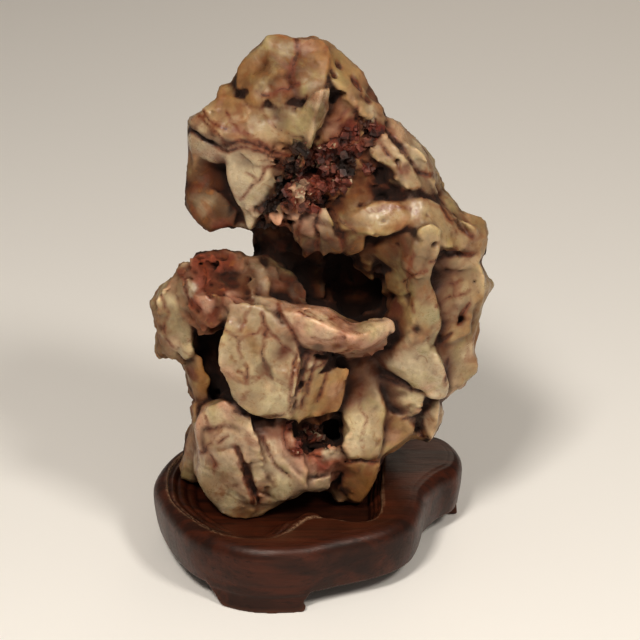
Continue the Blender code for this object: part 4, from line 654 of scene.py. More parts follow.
# Washes of other tones in the stone: squares of the sheet, reach in millimetres, strength, tone.
# The black washes in the cave, and the dark ones in it and under the paddle and the finger, are painted
# shade.
# The milk washes along the finger are painted highlights, and the milk, pale and cream washes on the toe,
# under the paddle and on the undersides of the lower front are painted light.
WASHES = [
    (256, 236, 7, 1.0, "black"), (282, 250, 8, 1.0, "black"), (306, 266, 6, 1.0, "black"),
    (328, 270, 6, 1.0, "black"), (286, 50, 5, 0.5, "green"), (292, 66, 4, 0.8, "brown"),
    (288, 80, 4, 0.6, "brown"), (321, 60, 4, 0.4, "pink"), (304, 86, 4, 0.6, "green"),
    (250, 84, 5, 0.4, "brown"), (243, 95, 3, 0.8, "dark"), (235, 113, 5, 0.7, "ochre"),
    (272, 126, 4, 0.6, "pale"), (298, 126, 4, 0.6, "green"), (285, 108, 3, 0.6, "brown"),
    (256, 140, 4, 0.4, "pink"), (200, 118, 4, 0.6, "pale"), (216, 122, 3, 0.4, "pink"),
    (222, 160, 3, 0.7, "rust"), (223, 226, 4, 0.8, "rust"), (233, 208, 4, 0.9, "dark"),
    (246, 172, 5, 0.6, "pale"), (276, 168, 3, 0.6, "rose"), (268, 200, 5, 1.0, "dark"),
    (288, 206, 5, 0.9, "dark"), (298, 156, 4, 1.0, "dark"), (411, 160, 4, 0.9, "pale"),
    (470, 238, 4, 0.8, "cream"), (460, 308, 5, 0.7, "pale"), (432, 408, 4, 1.0, "pale"),
    (280, 488, 6, 0.8, "pale"), (330, 454, 4, 0.9, "pale"), (205, 202, 6, 0.8, "cream"),
    (262, 44, 6, 0.8, "green"), (308, 48, 5, 0.5, "pink"), (300, 94, 4, 0.6, "green"),
    (262, 92, 4, 0.7, "cream"), (232, 118, 4, 0.6, "cream"), (318, 60, 5, 0.6, "tan"),
    (355, 280, 10, 1.0, "black"), (300, 275, 7, 1.0, "black"), (380, 300, 6, 0.9, "black"),
    (206, 178, 7, 0.9, "brown"), (340, 216, 5, 0.8, "amber"), (420, 332, 5, 0.6, "ochre"),
    (350, 384, 5, 1.0, "dark"), (376, 370, 3, 0.9, "dark"), (318, 346, 3, 0.7, "dark"),
    (400, 252, 4, 0.9, "amber"), (280, 96, 4, 0.9, "amber"), (268, 66, 6, 0.7, "amber"),
    (308, 66, 6, 0.6, "amber"), (300, 192, 3, 0.9, "pale"), (330, 128, 4, 0.5, "pink"),
    (350, 128, 4, 0.8, "rust"), (368, 132, 4, 0.8, "dark"), (372, 112, 3, 0.7, "pale"),
    (392, 131, 3, 0.5, "rose"), (422, 150, 5, 0.6, "pale"), (394, 172, 3, 0.5, "ochre"),
    (406, 170, 3, 0.8, "rust"), (384, 190, 4, 1.0, "dark"), (162, 302, 5, 0.6, "green"),
    (186, 292, 3, 0.9, "pale"), (176, 342, 4, 0.5, "pink"), (160, 346, 4, 0.7, "grey"),
    (182, 272, 3, 0.8, "rust"), (216, 286, 4, 0.6, "brown"), (236, 301, 4, 0.6, "rose"),
    (222, 354, 3, 0.7, "pale"), (280, 402, 6, 0.7, "green"), (284, 350, 3, 0.9, "rust"),
    (292, 336, 4, 0.7, "grey"), (288, 318, 4, 0.7, "pale"), (322, 336, 5, 0.5, "pale"),
    (338, 346, 3, 0.8, "rust"), (362, 338, 3, 0.6, "rose"), (298, 404, 4, 0.9, "brown"),
    (314, 362, 3, 0.9, "pale"), (332, 388, 4, 0.5, "pink"), (192, 372, 4, 0.8, "rust"),
    (190, 396, 3, 0.8, "grey"), (210, 432, 2.5, 0.6, "rust"), (228, 440, 4, 0.8, "pale"),
    (212, 412, 4, 0.4, "cream"), (212, 462, 2.5, 0.7, "rust"), (238, 514, 5, 0.7, "ochre"),
    (247, 478, 3, 0.9, "rust"), (270, 446, 4, 0.6, "pale"), (286, 426, 4, 0.9, "rust"),
    (312, 440, 5, 1.0, "rust"), (338, 450, 4, 0.8, "pale"), (326, 468, 4, 0.6, "rust"),
    (385, 217, 3, 0.8, "brown"), (372, 214, 5, 0.5, "cream"), (398, 262, 4, 0.7, "brown"),
    (394, 306, 5, 0.9, "rust"), (434, 316, 4, 0.6, "green"), (430, 386, 4, 0.6, "pink"),
    (400, 366, 5, 0.5, "pale"), (448, 362, 3, 0.8, "rust"), (472, 350, 5, 0.9, "pale"),
    (464, 308, 4, 1.0, "brown"), (480, 300, 3, 0.7, "ochre"), (442, 344, 4, 0.6, "ochre"),
    (396, 398, 4, 0.6, "green"), (354, 386, 4, 0.7, "ochre"), (346, 402, 3, 0.8, "rose"),
    (362, 440, 5, 0.7, "pale"), (378, 442, 2, 0.9, "rust"), (392, 436, 4, 0.6, "pink"),
    (358, 470, 2.5, 0.7, "rust"), (344, 490, 4, 0.9, "dark"), (370, 480, 3, 0.5, "ochre"),
    (438, 416, 3, 0.6, "pale"), (320, 114, 5, 0.8, "amber"), (466, 246, 2.5, 0.6, "rust"),
    (230, 492, 6, 0.9, "pale"), (206, 176, 7, 0.9, "amber"), (340, 214, 6, 0.7, "umber"),
    (378, 216, 6, 0.6, "umber"), (356, 478, 6, 0.6, "umber"), (395, 420, 5, 0.5, "tan"),
    (434, 404, 5, 1.0, "cream"), (400, 380, 3, 0.8, "cream"), (280, 94, 5, 0.8, "umber"),
    (215, 418, 6, 0.7, "milk"), (232, 498, 7, 0.9, "milk"), (262, 472, 5, 0.6, "milk"),
    (280, 489, 6, 1.0, "milk"), (470, 350, 4, 0.6, "milk"), (368, 330, 6, 0.6, "umber"),
    (342, 215, 6, 0.6, "amber"), (380, 216, 5, 0.5, "amber"), (282, 94, 5, 0.7, "amber"),
    (200, 182, 7, 0.6, "brown"), (395, 419, 5, 0.6, "umber"), (186, 262, 4, 0.6, "milk"),
    (172, 298, 5, 0.4, "milk"), (365, 430, 3, 0.4, "milk"), (246, 410, 3, 0.6, "milk"),
    (247, 330, 2.4, 0.6, "ochre"), (250, 341, 2.6, 0.7, "umber"), (255, 350, 2.4, 0.6, "ochre"),
    (303, 240, 5, 0.9, "brown"), (316, 244, 4, 0.9, "dark"), (330, 242, 5, 0.8, "brown"),
    (349, 246, 5, 0.8, "brown"), (306, 251, 4, 0.9, "dark"), (330, 253, 4, 0.9, "dark"),
    (296, 232, 3, 0.8, "dark"), (346, 238, 4, 0.6, "amber"), (208, 486, 6, 0.6, "ochre"),
    (226, 474, 4, 0.6, "green"), (244, 508, 5, 0.6, "ochre"), (205, 440, 4, 0.4, "ochre"),
    (338, 65, 2.2, 0.9, "dark"), (333, 75, 2, 0.9, "dark"), (354, 82, 2.4, 0.9, "dark"),
    (366, 99, 2.2, 0.9, "dark"), (420, 208, 9, 0.65, "cream"), (438, 214, 9, 0.75, "cream"),
    (452, 226, 8, 0.75, "cream"), (462, 238, 6, 0.6, "cream"), (382, 215, 8, 0.55, "milk"),
    (366, 214, 6, 0.5, "cream"), (215, 122, 9, 0.5, "cream"), (240, 126, 10, 0.55, "cream"),
    (262, 130, 9, 0.55, "cream"), (197, 120, 7, 0.7, "cream"), (223, 111, 7, 0.4, "ochre"),
    (282, 122, 8, 0.45, "cream"), (458, 300, 9, 0.4, "cream"), (446, 292, 7, 0.4, "green"),
    (318, 66, 7, 0.35, "ochre"), (300, 28, 8, 0.4, "green"), (396, 393, 9, 0.85, "milk"),
    (410, 404, 8, 0.85, "milk"), (384, 384, 6, 0.7, "pale"), (360, 430, 7, 0.7, "milk"),
    (352, 452, 5, 0.6, "milk"), (369, 392, 5, 0.5, "amber"), (282, 400, 9, 0.6, "milk"),
    (262, 385, 8, 0.35, "green"), (226, 372, 5, 0.5, "pink"), (164, 296, 7, 0.6, "milk"),
    (183, 350, 6, 0.5, "milk"), (312, 316, 5, 0.6, "milk"), (324, 319, 5, 0.6, "milk"),
    (335, 327, 5, 0.5, "milk"), (362, 331, 5, 0.5, "milk"), (378, 329, 5, 0.6, "milk"),
    (276, 396, 7, 0.5, "milk"), (228, 382, 4, 0.5, "ochre"), (250, 410, 4, 0.4, "ochre"),
    (256, 170, 7, 0.4, "milk"), (198, 128, 5, 0.5, "milk"),
]
# Crusty places: squares of the sheet, reach in millimetres, tone.
# The near-black crusts in the matrix under the head are partly its dark crust and partly painted shade,
# and those in the low cavity are painted shade.
CRUSTS = [
    (300, 150, 6, "soot"), (322, 154, 7, "rust"), (340, 146, 7, "rust"), (352, 132, 5, "rust"),
    (292, 166, 6, "soot"), (310, 172, 7, "rust"), (330, 172, 7, "rust"), (346, 166, 6, "soot"),
    (284, 186, 6, "soot"), (300, 186, 6, "rust"), (318, 188, 6, "rust"), (338, 186, 5, "rust"),
    (274, 204, 6, "soot"), (290, 204, 6, "rust"), (308, 204, 5, "rust"), (322, 206, 4, "rust"),
    (268, 222, 5, "soot"), (286, 220, 5, "rose"), (322, 432, 4, "soot"), (326, 446, 3, "soot"),
    (366, 124, 4, "soot"), (374, 132, 4, "rust"), (358, 150, 4, "rust"), (400, 194, 4, "rose"),
    (198, 262, 6, "red"), (212, 270, 7, "red"), (226, 264, 5, "red"), (200, 284, 5, "rose"),
    (218, 290, 6, "red"), (206, 302, 4, "pink"), (190, 288, 3, "pale"), (232, 296, 3, "pink"),
    (196, 306, 3, "rose"), (232, 280, 5, "dark"), (250, 280, 4, "grey"), (290, 424, 4, "rust"),
    (304, 434, 5, "rust"), (312, 448, 4, "rose"), (298, 446, 4, "rust"), (322, 466, 4, "rose"),
    (336, 458, 4, "rose"), (310, 470, 3, "pink"), (384, 176, 4, "brown"), (366, 168, 4, "rust"),
    (452, 250, 3, "brown"), (466, 252, 3, "grey"), (460, 320, 2, "brown"),
]


# ---- points and noise


def sight_points(squares):
    """Turns rows of (x, y, millimetres in front) into points along their lines of sight."""
    squares = np.atleast_2d(np.asarray(squares, float))
    on_sheet = SHEET_CENTRE + SHEET_UP * ((SHEET_MIDDLE - squares[:, 1:2]) * SQUARE)
    on_sheet[:, 0] += (squares[:, 0] - SHEET_MIDDLE) * SQUARE
    plane = SHEET_CENTRE[1] - squares[:, 2]
    share = (plane - EYE[1]) / (on_sheet[:, 1] - EYE[1])
    return EYE + (on_sheet - EYE) * share[:, None]


def hashed(cells, seed):
    """A steady random number from 0 to 1 for each whole-number cell."""
    mixed = cells[..., 0] * 73856093 ^ cells[..., 1] * 19349663 ^ cells[..., 2] * 83492791
    mixed = (mixed ^ (seed * 2654435761)) & 0xFFFFFFFF
    mixed = ((mixed ^ (mixed >> 15)) * 2246822519) & 0xFFFFFFFF
    mixed = ((mixed ^ (mixed >> 13)) * 3266489917) & 0xFFFFFFFF
    return ((mixed ^ (mixed >> 16)) & 0xFFFFFF) / 0xFFFFFF


def smooth_step(value):
    """Eases a value that runs from 0 to 1, and holds it there."""
    value = np.clip(value, 0, 1)
    return value * value * (3 - 2 * value)


def cell_corners(part):
    """The eight corners of a cell, each with its share in a place inside the cell."""
    for corner in np.ndindex(2, 2, 2):
        yield np.array(corner), np.where(corner, part, 1 - part).prod(axis=1)


def soft_noise(points, spacing, seed):
    """Smooth noise from -1 to 1 with bumps about as wide as spacing."""
    place = points / spacing
    cell = np.floor(place).astype(np.int64)
    total = np.zeros(len(points))
    for corner, share in cell_corners(smooth_step(place - cell)):
        total += share * hashed(cell + corner, seed)
    return total * 2 - 1


def noises(points, spacing, seeds):
    """Smooth noise for each of some seeds, side by side."""
    return np.stack([soft_noise(points, spacing, seed) for seed in seeds], axis=1)


def chips(points, size, seed):
    """Chipped facets: each cell is a tilted flat, higher or lower than its neighbours."""
    place = points / size
    cell = np.floor(place).astype(np.int64)
    nearest = np.full(len(points), FAR)
    level = np.zeros(len(points))
    for offset in np.ndindex(3, 3, 3):
        other = cell + np.array(offset) - 1
        gap = place - (other + np.stack([hashed(other, seed + axis) for axis in range(3)], axis=1))
        away = np.sqrt((gap ** 2).sum(axis=1))
        closer = np.flatnonzero(away < nearest)
        other = other[closer]
        tilt = np.stack([hashed(other, seed + 3 + axis) - 0.5 for axis in range(3)], axis=1)
        nearest[closer] = away[closer]
        level[closer] = (gap[closer] * tilt).sum(axis=1) * 1.6 + hashed(other, seed + 6) - 0.5
    return level


# ---- closed lines


def smooth_loop(points, steps):
    """A smooth closed line through some points, with so many steps from each to the next."""
    points = np.array(points, float)
    before, after, beyond = (np.roll(points, shift, axis=0) for shift in (1, -1, -2))
    rows = []
    for part in np.arange(steps) / steps:
        straight = (after - before) * part
        bend = (2 * before - 5 * points + 4 * after - beyond) * part ** 2
        turn = (3 * points - before - 3 * after + beyond) * part ** 3
        rows.append((2 * points + straight + bend + turn) / 2)
    return np.stack(rows, axis=1).reshape(-1, 2)


def loop_distance(places, line):
    """How far places lie outside a closed line, and how far along the line they are."""
    least = np.full(len(places), 1e9)
    along = np.zeros(len(places))
    inside = np.zeros(len(places), bool)
    travelled = 0.0
    for start, end in zip(line, np.roll(line, -1, axis=0)):
        step = end - start
        share = np.clip(((places - start) @ step) / (step @ step), 0, 1)
        away = np.linalg.norm(places - start - share[:, None] * step, axis=1)
        along = np.where(away < least, travelled + share * np.linalg.norm(step), along)
        least = np.minimum(least, away)
        crosses = (start[1] > places[:, 1]) != (end[1] > places[:, 1])
        rise = end[1] - start[1] if end[1] != start[1] else 1e-9
        inside ^= crosses & (places[:, 0] < start[0] + (places[:, 1] - start[1]) * step[0] / rise)
        travelled += np.linalg.norm(step)
    return np.where(inside, -least, least), along


# ---- fields of distances


def smooth_cut(solid, cut, blend):
    """The part of a solid that lies outside a cut, with the edge between them eased."""
    overlap = np.clip(blend - np.abs(solid + cut), 0, None)
    return np.maximum(solid, -cut) + overlap ** 2 / (4 * blend)


def smooth_join(solid, other, blend):
    """Two solids as one, with the corner between them eased."""
    overlap = np.clip(blend - np.abs(solid - other), 0, None)
    return np.minimum(solid, other) - overlap ** 2 / (4 * blend)


def blurred(array, reach):
    """A box blur along each axis in turn."""
    for axis in range(3):
        padded = np.concatenate([np.repeat(np.take(array, [0], axis), reach + 1, axis), array,
                                 np.repeat(np.take(array, [-1], axis), reach, axis)], axis)
        total = np.cumsum(padded, axis=axis, dtype=np.float64)
        count = array.shape[axis]
        ahead = np.take(total, np.arange(2 * reach + 1, 2 * reach + 1 + count), axis)
        behind = np.take(total, np.arange(0, count), axis)
        array = ((ahead - behind) / (2 * reach + 1)).astype(np.float32)
    return array


def as_grid(values):
    drawn = openvdb.FloatGrid(FAR)
    drawn.copyFromArray(np.ascontiguousarray(values))
    return drawn


class Field:
    """Distances on a grid, in millimetres, below zero inside the material."""

    def __init__(self, box, step):
        self.low = np.array(box[0], float)
        self.step = step
        self.axes = [np.arange(low, high, step) for low, high in zip(*box)]
        self.shape = tuple(len(axis) for axis in self.axes)
        self.values = np.full(self.shape, FAR, np.float32)
        self.ragged = [RAGGED * self.noise(RAGGED_SPREAD, seed) for seed in (61, 62, 63)]

    def window(self, low, high, margin):
        """The span of the grid round a box, with a margin."""
        spans = []
        for axis, a, b in zip(self.axes, low, high):
            start = int(np.searchsorted(axis, a - margin))
            spans.append(slice(start, max(start + 1, int(np.searchsorted(axis, b + margin)))))
        return tuple(spans)

    def grid(self, window):
        """The three axes of a window, each along its own side of the grid."""
        x, y, z = (axis[span].astype(np.float32) for axis, span in zip(self.axes, window))
        return x[:, None, None], y[None, :, None], z[None, None, :]

    def places(self, chosen):
        """The chosen places of the grid, as indices and as points."""
        near = np.nonzero(chosen)
        return near, np.stack([axis[index] for axis, index in zip(self.axes, near)], axis=1)

    def noise(self, spacing, seed):
        """Smooth noise from -1 to 1 over the whole grid, with bumps about as wide as spacing."""
        cells = [int((axis[-1] - axis[0]) / spacing) + 2 for axis in self.axes]
        values = np.random.default_rng(seed).uniform(-1, 1, cells).astype(np.float32)
        for number, axis in enumerate(self.axes):
            place = (axis - axis[0]) / spacing
            cell = np.floor(place).astype(int)
            part = smooth_step((place - cell).astype(np.float32))
            part = part.reshape([-1 if other == number else 1 for other in range(3)])
            low = np.take(values, cell, number)
            values = low + part * (np.take(values, cell + 1, number) - low)
        return values

    def close(self, reach):
        """Fills the gaps that a ball of this radius can't enter, and leaves the rest as it is."""
        points, corners = as_grid(self.values).convertToQuads(float(reach))
        steps = int(reach / self.step) + 4
        grown = openvdb.FloatGrid.createLevelSetFromPolygons(
            points, quads=corners, transform=openvdb.createLinearTransform(1.0), halfWidth=steps)
        closed = np.zeros(self.shape, np.float32)
        grown.copyToArray(closed)
        return closed * self.step + reach

    def sample(self, array, points):
        """Reads a grid at points, blending the eight grid points round each."""
        place = (points - self.low) / self.step
        cell = np.clip(np.floor(place).astype(int), 0, np.array(self.shape) - 2)
        total = 0
        for corner, share in cell_corners(np.clip(place - cell, 0, 1)):
            value = array[tuple((cell + corner).T)]
            total = total + (share[:, None] * value if value.ndim > 1 else share * value)
        return total

    def fullness(self, points, reach):
        """How much of the space round each point is solid, from 0 to 1."""
        solid = (self.values < 0).astype(np.float32)
        return self.sample(blurred(blurred(solid, reach), reach), points)

    def carve_spheres(self, centres, radii, blend):
        """Cuts pits, each of a ragged round shape and a little eased at its rim."""
        for centre, radius in zip(centres, radii):
            window = self.window(centre - radius, centre + radius, 2 * blend + radius)
            gaps = [axis + ragged[window] * radius - middle for axis, ragged, middle
                    in zip(self.grid(window), self.ragged, centre)]
            away = np.sqrt(gaps[0] ** 2 + gaps[1] ** 2 + gaps[2] ** 2) - radius
            self.values[window] = smooth_cut(self.values[window], away, blend)

    def to_mesh(self, name, triangles):
        """Draws the surface where the distance is zero, in metres."""
        points, corners = as_grid(self.values).convertToQuads(0.0)
        points = (np.asarray(points, float) * self.step + self.low) * MM
        mesh = bpy.data.meshes.new(name)
        mesh.from_pydata(points.tolist(), [], np.asarray(corners)[:, ::-1].tolist())
        piece = bpy.data.objects.new(name, mesh)
        bpy.context.scene.collection.objects.link(piece)
        keep_largest_body(piece)
        modifier = piece.modifiers.new("facet", "DECIMATE")
        modifier.ratio = min(1.0, triangles / (2 * len(piece.data.polygons)))
        apply_modifiers(piece)
        piece.data.shade_smooth()
        return piece


def apply_modifiers(piece):
    """Turns a piece with its modifiers into a plain mesh."""
    evaluated = piece.evaluated_get(bpy.context.evaluated_depsgraph_get())
    finished = bpy.data.meshes.new_from_object(evaluated)
    piece.modifiers.clear()
    piece.data = finished
    finished.name = piece.name


def keep_largest_body(piece):
    """Drops the closed pockets and crumbs that the field may hold."""
    pairs = np.empty(len(piece.data.edges) * 2, np.int64)
    piece.data.edges.foreach_get("vertices", pairs)
    pairs = pairs.reshape(-1, 2)
    label = np.arange(len(piece.data.vertices))
    while True:
        low = np.minimum(label[pairs[:, 0]], label[pairs[:, 1]])
        new = label.copy()
        np.minimum.at(new, pairs[:, 0], low)
        np.minimum.at(new, pairs[:, 1], low)
        new = new[new]
        if (new == label).all():
            break
        label = new
    names, sizes = np.unique(label, return_counts=True)
    stray = np.flatnonzero(label != names[sizes.argmax()])
    if len(stray):
        bm = bmesh.new()
        bm.from_mesh(piece.data)
        bm.verts.ensure_lookup_table()
        bmesh.ops.delete(bm, geom=[bm.verts[i] for i in stray], context="VERTS")
        bm.to_mesh(piece.data)
        bm.free()


def hull_planes(points):
    """The planes round some points, as rows of (normal, distance)."""
    bm = bmesh.new()
    corners = [bm.verts.new(point) for point in points]
    bmesh.ops.convex_hull(bm, input=corners)
    bm.normal_update()
    middle = np.mean(points, axis=0)
    planes = {}
    for face in bm.faces:
        normal = np.array(face.normal)
        reach = normal @ np.array(face.verts[0].co)
        if normal @ middle > reach:
            normal = -normal
            reach = -reach
        planes[tuple(np.round([*normal, reach], 2))] = [*normal, reach]
    bm.free()
    return np.array(list(planes.values()), np.float32)


def block_distance(planes, grid, edge):
    """How far points lie outside a block of planes whose edges are rounded."""
    x, y, z = grid
    total = 0
    for nx, ny, nz, reach in planes:
        total = total + np.exp(np.clip((nx * x + ny * y + nz * z - reach) / edge, -60, 60))
    return edge * np.log(total)


def mesh_points(piece):
    """Where the corners of a piece are, in millimetres."""
    points = np.empty(len(piece.data.vertices) * 3)
    piece.data.vertices.foreach_get("co", points)
    return points.reshape(-1, 3) / MM


def keep_layer(piece, name, values):
    """Keeps four numbers for each corner of a piece, as a named colour."""
    layer = piece.data.attributes.new(name, "FLOAT_COLOR", "POINT")
    layer.data.foreach_set("color", np.clip(values, 0, 1).astype(np.float32).ravel())


# ---- the stone


def lobe_points(points, depth):
    """A lobe's face and its narrower far side, kept above the bottom of the seat."""
    face = np.array(points, float)
    middle = face.mean(axis=0)
    far = face.copy()
    far[:, :2] = middle[:2] + LOBE_TAPER * (far[:, :2] - middle[:2])
    far[:, 2] -= depth
    found = sight_points(np.concatenate([face, far]))
    found[:, 2] = np.maximum(found[:, 2], SEAT_HEIGHT - LOBE_SINK)
    return found


def fuse_lobes(field):
    """Fuses the lobes, and returns the tone, roughness and seams that come with them."""
    near = np.zeros(field.shape, np.float32)
    wide = np.full(field.shape, 1e-9, np.float32)
    look = np.zeros(field.shape + (4,), np.float32)
    behind = smooth_step((field.axes[1] + BACK_START) / BACK_RANGE).astype(np.float32)[None, :, None]
    warp = [(WARP + BACK_WARP * behind) * (field.noise(17, seed) + 0.55 * field.noise(7.5, seed + 10))
            for seed in (1, 2, 3)]
    blend = TONE_BLEND * (1 + 2 * behind)
    for tone, edge, depth, points in LOBES.values():
        corners = lobe_points(points, depth)
        window = field.window(corners.min(axis=0), corners.max(axis=0), LOBE_MARGIN)
        grid = [axis + moved[window] for axis, moved in zip(field.grid(window), warp)]
        away = block_distance(hull_planes(corners), grid, edge * EDGE_SHARE) - LOBE_SWELL
        near[window] += np.exp(-np.maximum(away, -DEEPEST) / FUSE)
        weight = np.exp(-np.maximum(away, -1) / blend[:, window[1]])
        wide[window] += weight
        look[window] += weight[..., None] * np.array(TONES[tone], np.float32)
    field.values = (-FUSE * np.log(near + 1e-7)).astype(np.float32)
    closed = field.close(GAP_REACH)
    closed += behind * (field.close(BACK_REACH) - closed)
    gap = np.clip(field.values - np.clip(closed, -3, 3), 0, None)
    sink = CREASE_DEPTH * (1 - 0.6 * behind) * (1 - np.exp(-gap / CREASE_SPAN))
    field.values = closed + sink
    look /= wide[..., None]
    return look, np.clip(gap / GAP_REACH, 0, 1)


def trim_outline(field):
    """Trims the lobes along the sight lines of the stone's outline."""
    near, points = field.places(field.values < 2)
    points = points - EYE
    reach = EYE_DISTANCE / (points @ -TO_EYE)
    across = SHEET_MIDDLE + points[:, 0] * reach / SQUARE
    down = SHEET_MIDDLE - (points @ SHEET_UP) * reach / SQUARE
    sheet = 2 * SHEET_MIDDLE
    y, x = np.mgrid[0:sheet, 0:sheet]
    squares = np.column_stack([x.ravel(), y.ravel()]).astype(float)
    chart = loop_distance(squares, np.array(OUTLINE, float))[0].reshape(sheet, sheet)
    down, across = (np.clip(line.round().astype(int), 0, sheet - 1) for line in (down, across))
    cut = (chart[down, across] * SQUARE).astype(np.float32)
    field.values[near] = smooth_cut(field.values[near], -cut, TRIM_BLEND)


def cut_hollows(field):
    """Cuts the cave and the other spaces that are open to the front."""
    warp = [field.noise(9, seed) + 0.5 * field.noise(4, seed) for seed in (71, 72, 73)]
    for depth, points in HOLLOWS.values():
        corners = lobe_points(points, depth)
        window = field.window(corners.min(axis=0), corners.max(axis=0), LOBE_MARGIN)
        grid = [axis + HOLLOW_WARP * ragged[window] for axis, ragged in zip(field.grid(window), warp)]
        cut = block_distance(hull_planes(corners), grid, HOLLOW_EDGE)
        field.values[window] = smooth_cut(field.values[window], cut, HOLLOW_BLEND)


def find_surface(field, squares):
    """The first point of the stone on the line of sight through each square."""
    squares = np.asarray(squares, float)[:, :2]
    front = sight_points(np.column_stack([squares, np.full(len(squares), SIGHT_START)]))
    along = front - EYE
    along /= np.linalg.norm(along, axis=1)[:, None]
    reached = np.zeros(len(squares))
    found = np.zeros(len(squares), bool)
    for distance in np.arange(0, SIGHT_REACH, field.step / 2):
        points = front + along * distance
        inside = (field.sample(field.values, points) < 0) & ~found
        reached[inside] = distance
        found |= inside
    return (front + along * reached[:, None])[found], found


def find_rows(field, rows):
    """The rows of a table whose squares meet the stone, each with its point on the surface."""
    centres, found = find_surface(field, [row[:2] for row in rows])
    return zip(centres, [row[2:] for row, hit in zip(rows, found) if hit])


def lay_crusts(field, look):
    """Turns the stone's tone and roughness crusty round the crusty places."""
    edge = 0.35 * field.noise(5, 83) + 0.25 * field.noise(2.4, 84)
    for centre, (reach, name) in find_rows(field, CRUSTS):
        window = field.window(centre, centre, 1.6 * reach)
        gaps = [axis - middle for axis, middle in zip(field.grid(window), centre)]
        away = np.sqrt(gaps[0] ** 2 + gaps[1] ** 2 + gaps[2] ** 2) / reach
        amount = smooth_step((1.2 - away + edge[window]) * 1.6)[..., None]
        look[window] += amount * (np.array(TONES[name], np.float32) - look[window])


def lay_washes(points, tone, field):
    """Lays the washes over the tones, each with a ragged edge; some are painted light and shade."""
    edge = 0.5 * soft_noise(points, 4.5, 81) + 0.3 * soft_noise(points, 1.8, 82)
    for centre, (reach, strength, name) in find_rows(field, WASHES):
        away = np.linalg.norm(points - centre, axis=1) / reach
        amount = strength * smooth_step(1.25 - away + edge)
        tone[:, :3] += amount[:, None] * (np.array(TONES[name][:3]) - tone[:, :3])


def roughen(field, look):
    """Moves the surface by its undulation, ridges, fissures, chips and pocks."""
    near, points = field.places(np.abs(field.values) < WEAR_BAND)
    rough = look[..., 3][near]
    warp = noises(points, 11, (1, 2, 3))
    swell = sum(depth * soft_noise(points + warp, spacing, seed) for depth, spacing, seed in SWELLS)
    swell += RIPPLE * soft_noise(points, 1.9, 7)
    behind = smooth_step((points[:, 1] + BACK_START) / BACK_RANGE)
    waves = soft_noise(points + 3 * warp, 15, 8) + 0.5 * soft_noise(points + warp, 7, 9)
    swell += BACK_SWELL * behind * waves
    moved = swell * (0.8 + 0.6 * rough)
    fold = 1 - np.abs(soft_noise(points + 2.2 * warp, 15, 51)) * 9
    moved -= FISSURE_DEPTH * np.clip(fold, 0, 1) * smooth_step(0.6 + 1.2 * soft_noise(points, 24, 52))
    moved += FACET_DEPTH * chips(points + 2 * warp, 11, 91)
    coarse = rough > CHIPPED
    moved[coarse] += rough[coarse] * (CHIP_DEPTH * chips(points[coarse] + warp[coarse], 4.4, 21)
                                      + SPLINTER_DEPTH * chips(points[coarse], 2.2, 31))
    pocks = np.clip(soft_noise(points, 3.1, 41) - POCK_LEVEL, 0, None)
    moved -= pocks * (0.5 + 3.6 * rough)
    field.values[near] -= moved.astype(np.float32)


def trail(points, spacing, stray, width, seeds):
    """Evenly spaced places along a bent line on the sheet, which strays a little from it."""
    points = np.array(points, float)
    steps = np.linalg.norm(np.diff(points, axis=0), axis=1)
    reach = np.concatenate([[0], np.cumsum(steps)])
    places = np.arange(0, reach[-1], spacing)
    line = np.column_stack([np.interp(places, reach, points[:, axis]) for axis in range(2)])
    return line + stray * noises(np.pad(line, ((0, 0), (0, 1))), width, seeds)


def cut_cracks(field):
    """Cuts each crack as a row of small pits that widen towards its middle."""
    for width, points in CRACKS.values():
        line = trail(points, 1.2, 1.3, 6, (11, 12))
        centres, found = find_surface(field, line)
        share = np.linspace(0, 1, len(line))[found]
        radii = width * (0.45 + 0.55 * np.sin(np.pi * share) ** 0.6)
        field.carve_spheres(centres, radii, CRACK_BLEND)


def cut_pits(field):
    rows = np.array(PITS, float)
    centres, found = find_surface(field, rows)
    field.carve_spheres(centres, rows[found, 2], PIT_BLEND)


def flatten_sole(field):
    """Cuts the stone off flat where it stands in the seat."""
    field.values = np.maximum(field.values, SEAT_HEIGHT - field.axes[2].astype(np.float32))


def line_distances(points, lines, field):
    """How far each point lies from drawn lines, less each line's half width, in millimetres."""
    centres = []
    widths = []
    for width, places in lines:
        found = find_surface(field, trail(places, 1.0, 1.6, 7, (13, 14)))[0]
        centres += found.tolist()
        widths += [width / 2] * len(found)
    least = np.full(len(points), LINE_REACH)
    order = np.argsort(points[:, 2])
    heights = points[order, 2]
    for centre, width in zip(np.array(centres), widths):
        reach = LINE_REACH + width
        first, last = np.searchsorted(heights, (centre[2] - reach, centre[2] + reach))
        near = order[first:last]
        near = near[np.abs(points[near, 0] - centre[0]) < reach]
        away = np.linalg.norm(points[near] - centre, axis=1) - width
        least[near] = np.minimum(least[near], away)
    return np.clip(least, 0, LINE_REACH)


def above(value, start, growth):
    """How far a value has grown past its start, held between 0 and 1."""
    return np.clip((value - start) * growth, 0, 1)


def below(value, end, growth):
    return np.clip((end - value) * growth, 0, 1)


